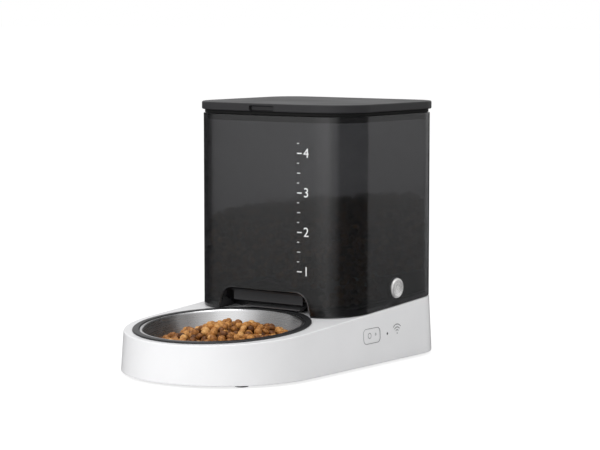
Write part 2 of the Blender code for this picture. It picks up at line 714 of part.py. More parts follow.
def screw_places():
    """Centres of the four screws that hold the bottom plate."""
    front = [(side * FRONT_SCREW_X, FRONT_SCREW_Y) for side in (-1, 1)]
    rear = [(side * REAR_SCREW_X, REAR_SCREW_Y) for side in (-1, 1)]
    return front + rear


def foot_places():
    """Centres of the four feet."""
    front = [(side * FRONT_FOOT_X, FRONT_FOOT_Y) for side in (-1, 1)]
    rear = [(side * REAR_FOOT_X, REAR_FOOT_Y) for side in (-1, 1)]
    return front + rear


def latch_slot(bm, side, low, high, play):
    """A slot round the latch arm with room for the button's travel."""
    outer = TANK_WIDTH / 2 - TANK_WALL - RELEASE_PLAY - RELEASE_FLANGE_THICKNESS + LATCH_ARM_THICKNESS / 2
    inner = outer - LATCH_ARM_THICKNESS - RELEASE_TRAVEL
    ends = sorted((side * (inner - play), side * (outer + play)))
    reach = LATCH_ARM_HALF + play
    add_box(bm, (ends[0], RELEASE_Y - reach, low), (ends[1], RELEASE_Y + reach, high))


def build_base_shell(build, material):
    """White base housing with its bowl seat, locating rib, bosses and cut-outs."""
    bm = bmesh.new()
    add_prism(bm, base_plan(0.0), FOOT_LIFT, lambda x, y: deck_height(y), base_plan(BASE_DRAFT))
    shell = build.part("base_shell", bm, material)
    bevel(shell, BASE_EDGE_RADIUS)

    bm = bmesh.new()
    low = FOOT_LIFT - CUT_OVERRUN
    add_prism(
        bm,
        base_plan(BASE_WALL),
        low,
        lambda x, y: deck_height(y, -BASE_WALL),
        base_plan(BASE_WALL + BASE_DRAFT),
    )
    boolean(shell, build.cutter(bm))

    bm = bmesh.new()
    for x, y in screw_places():
        top = deck_height(y, -BASE_WALL / 2)
        add_cylinder(bm, (x, y, BOTTOM_TOP + FIT_GAP), (x, y, top), SCREW_BOSS_RADIUS, SMALL_ROUND_STEPS)
    boolean(shell, build.cutter(bm), "UNION")

    bm = bmesh.new()
    outer = [p for p in tank_plan(TANK_WALL + LOCATOR_GAP) if p[1] > LOCATOR_FRONT_Y]
    inner = [p for p in tank_plan(TANK_WALL + LOCATOR_GAP + LOCATOR_WIDTH) if p[1] > LOCATOR_FRONT_Y]
    outer = [(outer[0][0], LOCATOR_FRONT_Y)] + outer + [(outer[-1][0], LOCATOR_FRONT_Y)]
    inner = [(inner[0][0], LOCATOR_FRONT_Y)] + inner + [(inner[-1][0], LOCATOR_FRONT_Y)]
    sink = -BASE_WALL / 2
    add_prism(
        bm,
        outer + inner[::-1],
        lambda x, y: deck_height(y, sink),
        lambda x, y: deck_height(y, LOCATOR_HEIGHT),
    )
    boolean(shell, build.cutter(bm), "UNION")

    bm = bmesh.new()
    add_cylinder(
        bm,
        (0.0, BOWL_CENTRE_V, -BOWL_RING_SKIRT),
        (0.0, BOWL_CENTRE_V, CUT_OVERRUN),
        BOWL_HOLE_RADIUS,
        BOWL_STEPS,
    )
    add_cylinder(
        bm,
        (0.0, ROTOR_V, -BASE_WALL - CUT_OVERRUN),
        (0.0, ROTOR_V, CUT_OVERRUN),
        DECK_HOLE_RADIUS,
    )
    boolean(shell, build.cutter(bm, build.deck))

    bm = bmesh.new()
    for _, side in mirror_sides():
        near, far = TANK_WIDTH / 2, TANK_WIDTH / 2 - LATCH_BOX_DEPTH
        outline = [
            (side * near, RELEASE_Y - LOCATOR_BREAK_HALF),
            (side * near, RELEASE_Y + LOCATOR_BREAK_HALF),
            (side * far, RELEASE_Y + LOCATOR_BREAK_HALF),
            (side * far, RELEASE_Y - LOCATOR_BREAK_HALF),
        ]
        add_prism(
            bm,
            outline,
            lambda x, y: deck_height(y, FIT_GAP),
            lambda x, y: deck_height(y, LOCATOR_HEIGHT + CUT_OVERRUN),
        )
    boolean(shell, build.cutter(bm))
    bm = bmesh.new()
    for _, side in mirror_sides():
        middle = deck_height(RELEASE_Y)
        latch_slot(bm, side, middle - BASE_WALL - CUT_OVERRUN, middle + CUT_OVERRUN, LATCH_SLOT_PLAY)
    boolean(shell, build.cutter(bm))

    bm = bmesh.new()
    for x, y in screw_places():
        tip = FOOT_LIFT + SCREW_LENGTH + SCREW_BOSS_RADIUS
        add_cylinder(bm, (x, y, FOOT_LIFT), (x, y, tip), SCREW_HOLE_RADIUS, SMALL_ROUND_STEPS)
    boolean(shell, build.cutter(bm))

    bm = bmesh.new()
    outline = rounded_rectangle(
        INLET_WIDTH + 2 * INLET_PLAY,
        INLET_HEIGHT + 2 * INLET_PLAY,
        BASE_EDGE_RADIUS,
    )
    verts = add_prism(bm, outline, -INLET_DEPTH, CUT_OVERRUN)
    turn_points(bm, verts, Matrix.Translation((INLET_X, BASE_LENGTH / 2, INLET_Z)) @ X_TO_DEPTH)
    boolean(shell, build.cutter(bm))

    bm = bmesh.new()
    window = rounded_rectangle(
        BUTTON_HEIGHT + 2 * BUTTON_PLAY,
        BUTTON_LENGTH + 2 * BUTTON_PLAY,
        BUTTON_RADIUS + BUTTON_PLAY,
    )
    turn_side = Matrix.Rotation(math.pi / 2, 4, "Y")
    verts = add_prism(bm, window, -BASE_WALL - CUT_OVERRUN, CUT_OVERRUN)
    turn_points(bm, verts, button_matrix() @ turn_side)
    x = side_draft_x(LAMP_Y, LAMP_Z)
    hole = LAMP_RADIUS + LAMP_PLAY
    add_cylinder(
        bm,
        (x - BASE_WALL - CUT_OVERRUN, LAMP_Y, LAMP_Z),
        (x + CUT_OVERRUN, LAMP_Y, LAMP_Z),
        hole,
        SMALL_ROUND_STEPS,
    )
    boolean(shell, build.cutter(bm))
    return shell


def button_matrix():
    """Place of the feed button: on the side wall, turned to the wall's draft."""
    place = (side_draft_x(BUTTON_Y, BUTTON_Z), BUTTON_Y, BUTTON_Z)
    turn = Matrix.Rotation(-side_draft_angle(BUTTON_Y), 4, "Y")
    return Matrix.Translation(place) @ turn


def build_base_bottom(build, material):
    """Bottom plate with its screw sinks and battery hatch opening."""
    bm = bmesh.new()
    outline = base_plan(BASE_WALL + FIT_GAP)
    top_share = BOTTOM_THICKNESS / (BASE_FRONT_HEIGHT - FOOT_LIFT)
    add_prism(bm, outline, FOOT_LIFT, BOTTOM_TOP, base_plan(BASE_WALL + FIT_GAP + BASE_DRAFT * top_share))
    plate = build.part("base_bottom", bm, material)
    bm = bmesh.new()
    for x, y in screw_places():
        low = FOOT_LIFT - CUT_OVERRUN
        middle = FOOT_LIFT + SCREW_SINK_DEPTH
        add_cylinder(bm, (x, y, low), (x, y, middle), SCREW_SINK_RADIUS, SMALL_ROUND_STEPS)
    boolean(plate, build.cutter(bm))
    bm = bmesh.new()
    for x, y in screw_places():
        low = FOOT_LIFT - CUT_OVERRUN
        high = BOTTOM_TOP + CUT_OVERRUN
        add_cylinder(bm, (x, y, low), (x, y, high), SCREW_RADIUS + FIT_GAP, SMALL_ROUND_STEPS)
    hatch = rounded_rectangle(HATCH_LENGTH, HATCH_WIDTH, HATCH_CORNER, centre=(HOLDER_X, HOLDER_Y))
    add_prism(bm, hatch, FOOT_LIFT - CUT_OVERRUN, BOTTOM_TOP + CUT_OVERRUN)
    boolean(plate, build.cutter(bm))
    return plate


def build_fasteners_and_feet(build, steel, rubber):
    """Four rubber feet and four screws under the base."""
    names = ("front_left", "front_right", "rear_left", "rear_right")
    for name, (x, y) in zip(names, foot_places()):
        bm = bmesh.new()
        high = FOOT_LIFT - FIT_GAP
        add_cylinder(bm, (x, y, 0.0), (x, y, high), FOOT_RADIUS - FOOT_TAPER, end_radius=FOOT_RADIUS)
        build.part(f"foot_{name}", bm, rubber)
    for name, (x, y) in zip(names, screw_places()):
        head = FOOT_LIFT + SCREW_SINK_DEPTH - FIT_GAP
        profile = [
            (0.0, SCREW_LENGTH),
            (SCREW_RADIUS / 2, SCREW_LENGTH),
            (SCREW_RADIUS, SCREW_LENGTH - SCREW_RADIUS),
            (SCREW_RADIUS, 0.0),
            (SCREW_HEAD_RADIUS, 0.0),
            (SCREW_HEAD_RADIUS, -SCREW_HEAD_HEIGHT / 2),
            (SCREW_HEAD_RADIUS - SCREW_HEAD_HEIGHT / 2, -SCREW_HEAD_HEIGHT),
            (0.0, -SCREW_HEAD_HEIGHT),
        ]
        build.turned(f"base_screw_{name}", profile, steel, location=(x, y, head), steps=SMALL_ROUND_STEPS)


def build_bowl(build, steel, dark):
    """Steel bowl and the dark ring that it hangs in."""
    ring_inner = BOWL_RING_RADIUS - BOWL_RING_WIDTH
    ledge_inner = ring_inner - BOWL_LEDGE_WIDTH
    skirt = BOWL_HOLE_RADIUS - FIT_GAP
    soft = BOWL_RING_HEIGHT / 3
    ledge_under = -BOWL_LEDGE_DROP - BOWL_RING_WALL
    profile = [
        (ring_inner, BOWL_RING_HEIGHT),
        (BOWL_RING_RADIUS - 2 * soft, BOWL_RING_HEIGHT),
        (BOWL_RING_RADIUS - soft / 2, BOWL_RING_HEIGHT - soft / 2),
        (BOWL_RING_RADIUS, FIT_GAP + soft),
        (BOWL_RING_RADIUS, FIT_GAP),
        (skirt, FIT_GAP),
        (skirt, -BOWL_RING_SKIRT),
        (skirt - BOWL_RING_WALL, -BOWL_RING_SKIRT),
        (skirt - BOWL_RING_WALL, ledge_under),
        (ledge_inner, ledge_under),
        (ledge_inner, -BOWL_LEDGE_DROP),
        (ring_inner, -BOWL_LEDGE_DROP),
    ]
    place = (0.0, BOWL_CENTRE_V, 0.0)
    build.turned("bowl_ring", profile, dark, build.deck, place, BOWL_STEPS)

    pivot = (0.0, BOWL_CENTRE_V + ring_inner - FIT_GAP, 0.0)
    hinge = build.empty("bowl_tilt_axis", pivot, build.deck)
    profile = bowl_profile(ring_inner - FIT_GAP)
    offset = (0.0, FIT_GAP - ring_inner, 0.0)
    build.turned("steel_bowl", profile, steel, hinge, offset, BOWL_STEPS)


def bowl_profile(lip_radius):
    """Inner line of the bowl from its centre to the rim, then the outer line back."""
    centre = Vector((BOWL_FLOOR_RADIUS, BOWL_CORNER_RADIUS - BOWL_DEPTH))
    mouth = Vector((BOWL_MOUTH_RADIUS, -BOWL_LEDGE_DROP))
    reach = mouth - centre
    heading = math.atan2(reach.y, reach.x)
    end = heading - math.acos(BOWL_CORNER_RADIUS / reach.length)
    wall = Vector((math.cos(end), math.sin(end)))
    seat = FIT_GAP - BOWL_LEDGE_DROP
    inner = [(0.0, -BOWL_DEPTH)] + arc(centre, BOWL_CORNER_RADIUS, -math.pi / 2, end, BOWL_CORNER_STEPS)
    outer_mouth = mouth + wall * BOWL_SHEET
    rim_middle = (BOWL_MOUTH_RADIUS + lip_radius) / 2
    rim = [
        (BOWL_MOUTH_RADIUS, -BOWL_LEDGE_DROP),
        (BOWL_MOUTH_RADIUS + BOWL_SHEET, BOWL_RIM_RISE / 3),
        (rim_middle, BOWL_RIM_RISE),
        (lip_radius - BOWL_SHEET / 2, BOWL_RIM_RISE / 2),
        (lip_radius, seat + BOWL_SHEET / 2),
        (lip_radius - BOWL_SHEET / 2, seat),
        (outer_mouth.x + BOWL_SHEET / 2, seat),
        tuple(outer_mouth - Vector((0.0, BOWL_SHEET))),
    ]
    outer = arc(centre, BOWL_CORNER_RADIUS + BOWL_SHEET, end, -math.pi / 2, BOWL_CORNER_STEPS)
    return inner + rim + outer + [(0.0, -BOWL_DEPTH - BOWL_SHEET)]


def involute(base_radius, radius):
    """Polar angle of an involute at a radius."""
    angle = math.acos(min(1.0, base_radius / radius))
    return math.tan(angle) - angle


def gear_outline(teeth, turn=0.0):
    """Spur gear outline with involute flanks and a little backlash."""
    pitch = GEAR_MODULE * teeth / 2
    base = pitch * math.cos(GEAR_PRESSURE_ANGLE)
    tip = pitch + GEAR_MODULE
    root = pitch - GEAR_MODULE * 5 / 4
    start = max(base, root)
    half = math.pi / (2 * teeth) - GEAR_BACKLASH / (2 * pitch)
    at_pitch = involute(base, pitch)
    points = []
    for tooth in range(teeth):
        middle = turn + 2 * math.pi * tooth / teeth
        flank = []
        for i in range(FLANK_POINTS):
            radius = start + (tip - start) * i / (FLANK_POINTS - 1)
            flank.append((radius, half + at_pitch - involute(base, radius)))
        low = [(root, flank[0][1])] if root < start else []
        side = low + flank
        points += [(r * math.cos(middle - a), r * math.sin(middle - a)) for r, a in side]
        points += [(r * math.cos(middle + a), r * math.sin(middle + a)) for r, a in side[::-1]]
    return points


def build_drive(build, plastic, steel, brass, dark):
    """Motor, two-stage gear train, frame and the coupling that turns the rotor."""
    output = build.empty("output_axis", (0.0, ROTOR_V, 0.0), build.deck)
    bm = bmesh.new()
    add_prism(bm, gear_outline(OUTPUT_TEETH), OUTPUT_GEAR_LOW_W, OUTPUT_GEAR_HIGH_W)
    gear = build.part("output_gear", bm, plastic, output)
    rim = GEAR_MODULE * OUTPUT_TEETH / 2 - GEAR_RIM
    for low, high in (
        (OUTPUT_GEAR_HIGH_W - GEAR_WEB, OUTPUT_GEAR_HIGH_W + CUT_OVERRUN),
        (OUTPUT_GEAR_LOW_W - CUT_OVERRUN, OUTPUT_GEAR_LOW_W + GEAR_WEB),
    ):
        groove = build.ring_cutter(GEAR_BOSS_RADIUS, rim, low, high, output)
        boolean(gear, groove)
    bm = bmesh.new()
    bore = SHAFT_RADIUS + FIT_GAP
    add_cylinder(
        bm,
        (0.0, 0.0, OUTPUT_GEAR_LOW_W - CUT_OVERRUN),
        (0.0, 0.0, OUTPUT_GEAR_HIGH_W + CUT_OVERRUN),
        bore,
    )
    boolean(gear, build.cutter(bm, output))

    bm = bmesh.new()
    add_cylinder(bm, (0.0, 0.0, FRAME_HIGH_W + FIT_GAP), (0.0, 0.0, DOG_LOW_W + FIT_GAP), SHAFT_RADIUS)
    coupling = build.part("drive_coupling", bm, steel, output)
    bm = bmesh.new()
    add_cylinder(bm, (0.0, 0.0, DOG_LOW_W), (0.0, 0.0, DOG_HIGH_W), DOG_RADIUS, DOG_SIDES)
    boolean(coupling, build.cutter(bm, output), "UNION")

    idler = build.empty("idler_axis", (IDLER_X, ROTOR_V, 0.0), build.deck)
    half_tooth = math.pi / IDLER_SMALL_TEETH
    bm = bmesh.new()
    add_prism(bm, gear_outline(IDLER_LARGE_TEETH), IDLER_LOW_W, IDLER_STEP_W)
    gear = build.part("idler_gear", bm, plastic, idler)
    bm = bmesh.new()
    add_prism(bm, gear_outline(IDLER_SMALL_TEETH, half_tooth), IDLER_STEP_W - GEAR_WEB, IDLER_HIGH_W)
    boolean(gear, build.cutter(bm, idler), "UNION")
    bm = bmesh.new()
    add_cylinder(
        bm,
        (0.0, 0.0, IDLER_LOW_W - CUT_OVERRUN),
        (0.0, 0.0, IDLER_HIGH_W + CUT_OVERRUN),
        IDLER_PIN_RADIUS + FIT_GAP,
        SMALL_ROUND_STEPS,
    )
    boolean(gear, build.cutter(bm, idler))
    bm = bmesh.new()
    add_cylinder(
        bm,
        (IDLER_X, ROTOR_V, FRAME_HIGH_W + FIT_GAP),
        (IDLER_X, ROTOR_V, COVER_LOW_W - FIT_GAP),
        IDLER_PIN_RADIUS,
        SMALL_ROUND_STEPS,
    )
    build.part("idler_pin", bm, steel, build.deck)

    pinion = build.empty("pinion_axis", (PINION_X, ROTOR_V, 0.0), build.deck)
    bm = bmesh.new()
    add_prism(bm, gear_outline(PINION_TEETH, math.pi / PINION_TEETH), IDLER_LOW_W, PINION_HIGH_W)
    gear = build.part("motor_pinion", bm, brass, pinion)
    bm = bmesh.new()
    add_cylinder(
        bm,
        (0.0, 0.0, IDLER_LOW_W - CUT_OVERRUN),
        (0.0, 0.0, PINION_HIGH_W + CUT_OVERRUN),
        PINION_BORE,
        SMALL_ROUND_STEPS,
    )
    boolean(gear, build.cutter(bm, pinion))

    profile = [
        (0.0, COVER_LOW_W - FIT_GAP),
        (MOTOR_RADIUS - BASE_EDGE_RADIUS, COVER_LOW_W - FIT_GAP),
        (MOTOR_RADIUS, COVER_LOW_W - FIT_GAP - BASE_EDGE_RADIUS),
        (MOTOR_RADIUS, MOTOR_LOW_W + BASE_EDGE_RADIUS),
        (MOTOR_RADIUS - BASE_EDGE_RADIUS, MOTOR_LOW_W),
        (MOTOR_SHAFT_RADIUS, MOTOR_LOW_W),
        (MOTOR_SHAFT_RADIUS, IDLER_LOW_W),
        (0.0, IDLER_LOW_W),
    ]
    motor = build.turned("drive_motor", profile, steel, build.deck, (PINION_X, ROTOR_V, 0.0))
    bm = bmesh.new()
    for side in (-1, 1):
        ends = sorted((side * MOTOR_FLAT, side * (MOTOR_RADIUS + CUT_OVERRUN)))
        add_box(
            bm,
            (PINION_X - MOTOR_RADIUS - CUT_OVERRUN, ROTOR_V + ends[0], MOTOR_LOW_W - CUT_OVERRUN),
            (PINION_X + MOTOR_RADIUS + CUT_OVERRUN, ROTOR_V + ends[1], COVER_LOW_W + CUT_OVERRUN),
        )
    boolean(motor, build.cutter(bm, build.deck))

    build_gear_frame(build, dark)


def build_gear_frame(build, dark):
    """Frame under the gears, its posts up to the deck, and the cover plate that holds the motor."""
    left = PINION_X - MOTOR_RADIUS - FRAME_MARGIN / 2
    right = GEAR_MODULE * OUTPUT_TEETH / 2 + FRAME_MARGIN
    outline = rounded_rectangle(
        right - left,
        2 * FRAME_HALF_V,
        FRAME_CORNER,
        centre=((left + right) / 2, ROTOR_V),
    )
    reach = FRAME_HALF_V - FRAME_POST_INSET
    ends = (left + FRAME_POST_INSET, right - FRAME_POST_INSET)
    posts = [(x, ROTOR_V + side * reach) for x in ends for side in (-1, 1)]
    bm = bmesh.new()
    add_prism(bm, outline, FRAME_LOW_W, FRAME_HIGH_W)
    frame = build.part("gearbox_frame", bm, dark, build.deck)
    bm = bmesh.new()
    top = -BASE_WALL - FIT_GAP
    for x, v in posts:
        low = (FRAME_LOW_W + FRAME_HIGH_W) / 2
        add_cylinder(bm, (x, v, low), (x, v, top), FRAME_POST_RADIUS, SMALL_ROUND_STEPS)
    boolean(frame, build.cutter(bm, build.deck), "UNION")

    bm = bmesh.new()
    add_prism(bm, outline, COVER_LOW_W, COVER_HIGH_W)
    cover = build.part("gearbox_cover", bm, dark, build.deck)
    bm = bmesh.new()
    low, high = COVER_LOW_W - CUT_OVERRUN, COVER_HIGH_W + CUT_OVERRUN
    for x, v in posts:
        add_cylinder(bm, (x, v, low), (x, v, high), FRAME_POST_RADIUS + FIT_GAP, SMALL_ROUND_STEPS)
    add_cylinder(bm, (0.0, ROTOR_V, low), (0.0, ROTOR_V, high), SHAFT_RADIUS + FIT_GAP)
    boolean(cover, build.cutter(bm, build.deck))


def build_electronics(build, white, green, metal, dark, lamp):
    """Circuit board with its switch and radio, the feed button, the lamp and the power inlet."""
    bm = bmesh.new()
    top = deck_height(BOARD_FRONT_Y, -BASE_WALL - BOARD_TOP_GAP)
    add_box(
        bm,
        (BOARD_X, BOARD_FRONT_Y, BOTTOM_TOP + FIT_GAP),
        (BOARD_X + BOARD_THICKNESS, BOARD_BACK_Y, top),
    )
    build.part("circuit_board", bm, green)

    bm = bmesh.new()
    add_box(
        bm,
        (BOARD_X - FIT_GAP - RADIO_THICKNESS, RADIO_Y - RADIO_LENGTH / 2, RADIO_Z - RADIO_HEIGHT / 2),
        (BOARD_X - FIT_GAP, RADIO_Y + RADIO_LENGTH / 2, RADIO_Z + RADIO_HEIGHT / 2),
    )
    build.part("wireless_module", bm, metal)

    button = bpy.data.objects.new("feed_button_axis", None)
    button.matrix_world = button_matrix()
    build.parts.objects.link(button)
    turn_side = Matrix.Rotation(math.pi / 2, 4, "Y")
    bm = bmesh.new()
    cap = rounded_rectangle(BUTTON_HEIGHT, BUTTON_LENGTH, BUTTON_RADIUS)
    verts = add_prism(bm, cap, -BUTTON_DEPTH, -BUTTON_SINK)
    turn_points(bm, verts, turn_side)
    item = build.part("feed_button", bm, white, button)
    bm = bmesh.new()
    grown = 2 * BUTTON_FLANGE
    flange = rounded_rectangle(BUTTON_HEIGHT + grown, BUTTON_LENGTH + grown, BUTTON_RADIUS + BUTTON_FLANGE)
    high = -BASE_WALL - FIT_GAP
    verts = add_prism(bm, flange, high - BUTTON_FLANGE_THICKNESS, high)
    turn_points(bm, verts, turn_side)
    boolean(item, build.cutter(bm, button), "UNION")

    back = side_draft_x(BUTTON_Y, BUTTON_Z) - BUTTON_DEPTH - BUTTON_TRAVEL - SWITCH_GAP
    bm = bmesh.new()
    half = SWITCH_SIZE / 2
    add_box(
        bm,
        (BOARD_X + BOARD_THICKNESS + FIT_GAP, BUTTON_Y - half, BUTTON_Z - half),
        (back, BUTTON_Y + half, BUTTON_Z + half),
    )
    build.part("button_switch", bm, dark)

    bm = bmesh.new()
    outer = side_draft_x(LAMP_Y, LAMP_Z)
    add_cylinder(
        bm,
        (BOARD_X + BOARD_THICKNESS + FIT_GAP, LAMP_Y, LAMP_Z),
        (outer - BUTTON_SINK, LAMP_Y, LAMP_Z),
        LAMP_RADIUS,
        SMALL_ROUND_STEPS,
    )
    build.part("indicator_lens", bm, lamp)
    build_inlet(build, dark)


def build_inlet(build, dark):
    """Low-voltage power inlet in the back wall."""
    face = BASE_LENGTH / 2 - BASE_DRAFT * (INLET_Z + INLET_HEIGHT / 2) / BASE_BACK_HEIGHT - FIT_GAP
    bm = bmesh.new()
    outline = rounded_rectangle(INLET_WIDTH, INLET_HEIGHT, BASE_EDGE_RADIUS)
    verts = add_prism(bm, outline, -INLET_DEPTH, 0.0)
    place = Matrix.Translation((INLET_X, face, INLET_Z)) @ X_TO_DEPTH
    turn_points(bm, verts, place)
    inlet = build.part("power_inlet", bm, dark)
    bm = bmesh.new()
    slot = rounded_rectangle(INLET_SLOT_WIDTH, INLET_SLOT_HEIGHT, INLET_SLOT_HEIGHT * INLET_SLOT_END_SHARE)
    verts = add_prism(bm, slot, -INLET_SLOT_DEPTH, CUT_OVERRUN)
    turn_points(bm, verts, place)
    boolean(inlet, build.cutter(bm))


def build_batteries(build, plastic, white, cell_metal):
    """Battery holder, four cells and the hatch under them."""
    bm = bmesh.new()
    low = BOTTOM_TOP + FIT_GAP
    half_x, half_y = HOLDER_LENGTH / 2, HOLDER_WIDTH / 2
    add_box(
        bm,
        (HOLDER_X - half_x, HOLDER_Y - half_y, low),
        (HOLDER_X + half_x, HOLDER_Y + half_y, HOLDER_TOP),
    )
    holder = build.part("battery_holder", bm, plastic)
    bm = bmesh.new()
    add_box(
        bm,
        (HOLDER_X - half_x + HOLDER_WALL, HOLDER_Y - half_y + HOLDER_WALL, low - CUT_OVERRUN),
        (HOLDER_X + half_x - HOLDER_WALL, HOLDER_Y + half_y - HOLDER_WALL, HOLDER_TOP - HOLDER_WALL),
    )
    boolean(holder, build.cutter(bm))

    number = 0
    for row in (-1, 1):
        for column in (-1, 1):
            number += 1
            middle = HOLDER_X + column * CELL_PITCH_X / 2
            y = HOLDER_Y + row * CELL_PITCH_Y / 2
            z = BOTTOM_TOP + CELL_FLOOR_GAP + CELL_RADIUS
            flip = row * column
            start = middle - flip * CELL_LENGTH / 2
            end = middle + flip * (CELL_LENGTH / 2 - CELL_NUB_LENGTH)
            bm = bmesh.new()
            add_cylinder(bm, (start, y, z), (end, y, z), CELL_RADIUS, SMALL_ROUND_STEPS)
            cell = build.part(f"battery_cell_{number}", bm, cell_metal)
            bm = bmesh.new()
            add_cylinder(
                bm,
                (middle, y, z),
                (end + flip * CELL_NUB_LENGTH, y, z),
                CELL_NUB_RADIUS,
                SMALL_ROUND_STEPS,
            )
            boolean(cell, build.cutter(bm), "UNION")

    bm = bmesh.new()
    play = 2 * HATCH_PLAY
    outline = rounded_rectangle(
        HATCH_LENGTH - play,
        HATCH_WIDTH - play,
        HATCH_CORNER - HATCH_PLAY,
        centre=(HOLDER_X, HOLDER_Y),
    )
    add_prism(bm, outline, FOOT_LIFT, BOTTOM_TOP)
    hatch = build.part("battery_hatch", bm, white)
    bm = bmesh.new()
    for i in range(HATCH_RIBS):
        x = HOLDER_X + HATCH_LENGTH / 4 + (i - (HATCH_RIBS - 1) / 2) * HATCH_RIB_PITCH
        reach = HATCH_WIDTH / 4
        add_box(
            bm,
            (x - HATCH_RIB_WIDTH / 2, HOLDER_Y - reach, FOOT_LIFT - CUT_OVERRUN),
            (x + HATCH_RIB_WIDTH / 2, HOLDER_Y + reach, FOOT_LIFT + HATCH_RIB_HEIGHT),
        )
    boolean(hatch, build.cutter(bm))


def build_tank_shell(build, smoke):
    """Smoke-clear tank wall, open above and below, with the outlet arch and the button holes."""
    bm = bmesh.new()
    add_prism(bm, tank_plan(0.0), lambda x, y: deck_height(y, TANK_SEAM), TANK_TOP)
    bmesh.ops.recalc_face_normals(bm, faces=bm.faces)
    caps = [face for face in bm.faces if abs(face.normal.z) > 0.5]
    bmesh.ops.delete(bm, geom=caps, context="FACES_ONLY")
    shell = build.part("tank_shell", bm, smoke)
    wall = shell.modifiers.new("wall", "SOLIDIFY")
    wall.thickness = TANK_WALL
    wall.offset = -1.0
    wall.use_even_offset = True

    bm = bmesh.new()
    front = TANK_FRONT_Y - 2 * CUT_OVERRUN
    verts = add_prism(bm, arch_outline(0.0, -CUT_OVERRUN), front, TANK_FRONT_Y + ARCH_CUT_REACH)
    turn_points(bm, verts, X_TO_DEPTH)
    boolean(shell, build.cutter(bm, build.deck))

    bm = bmesh.new()
    for _, side in mirror_sides():
        outer = side * TANK_WIDTH / 2
        add_cylinder(
            bm,
            (outer + side * CUT_OVERRUN, RELEASE_Y, RELEASE_Z),
            (outer - side * (TANK_WALL + CUT_OVERRUN), RELEASE_Y, RELEASE_Z),
            RELEASE_RADIUS + RELEASE_PLAY,
        )
    boolean(shell, build.cutter(bm))
    return shell


def build_hopper_floor(build, dark):
    """Tank floor: a sloping plate with a sunk round pad that the rotor sweeps."""
    bm = bmesh.new()
    add_prism(
        bm,
        tank_plan(TANK_WALL + FIT_GAP),
        lambda x, y: deck_height(y, FLOOR_UNDER_W),
        lambda x, y: deck_height(y, FLOOR_TOP_W),
    )
    floor = build.part("hopper_floor", bm, dark)
    well = ROTOR_RADIUS + 2 * ROTOR_CLEARANCE
    bm = bmesh.new()
    add_cylinder(
        bm,
        (0.0, ROTOR_V, FLOOR_PAD_UNDER_W),
        (0.0, ROTOR_V, (FLOOR_UNDER_W + FLOOR_TOP_W) / 2),
        well + FLOOR_PAD_WALL,
        2 * ROUND_STEPS,
    )
    boolean(floor, build.cutter(bm, build.deck), "UNION")
    bm = bmesh.new()
    add_cylinder(
        bm,
        (0.0, ROTOR_V, FLOOR_PAD_TOP_W),
        (0.0, ROTOR_V, FLOOR_TOP_W + CUT_OVERRUN),
        well,
        2 * ROUND_STEPS,
    )
    boolean(floor, build.cutter(bm, build.deck))
    bm = bmesh.new()
    add_cylinder(
        bm,
        (0.0, ROTOR_V, FLOOR_PAD_UNDER_W - CUT_OVERRUN),
        (0.0, ROTOR_V, FLOOR_TOP_W),
        FLOOR_HOLE_RADIUS,
        SMALL_ROUND_STEPS,
    )
    verts = add_prism(
        bm,
        arch_outline(HOOD_WALL + FIT_GAP, -CUT_OVERRUN),
        TANK_FRONT_Y - 2 * CUT_OVERRUN,
        HOOD_DEPTH_V + FIT_GAP,
    )
    turn_points(bm, verts, X_TO_DEPTH)
    boolean(floor, build.cutter(bm, build.deck))
    bm = bmesh.new()
    for _, side in mirror_sides():
        low = deck_height(RELEASE_Y, FLOOR_UNDER_W - CUT_OVERRUN)
        latch_slot(bm, side, low, low + 3 * CUT_OVERRUN, LATCH_SLOT_PLAY)
    boolean(floor, build.cutter(bm))
    bm = bmesh.new()
    for _, side in mirror_sides():
        outer = TANK_WIDTH / 2
        inner = outer - TANK_WALL - RELEASE_PLAY - RELEASE_FLANGE_THICKNESS
        inner -= RELEASE_TRAVEL + LATCH_SLOT_PLAY
        add_cylinder(
            bm,
            (side * inner, RELEASE_Y, RELEASE_Z),
            (side * outer, RELEASE_Y, RELEASE_Z),
            RELEASE_FLANGE_RADIUS + LATCH_HOLE_PLAY,
        )
    boolean(floor, build.cutter(bm))
    return floor


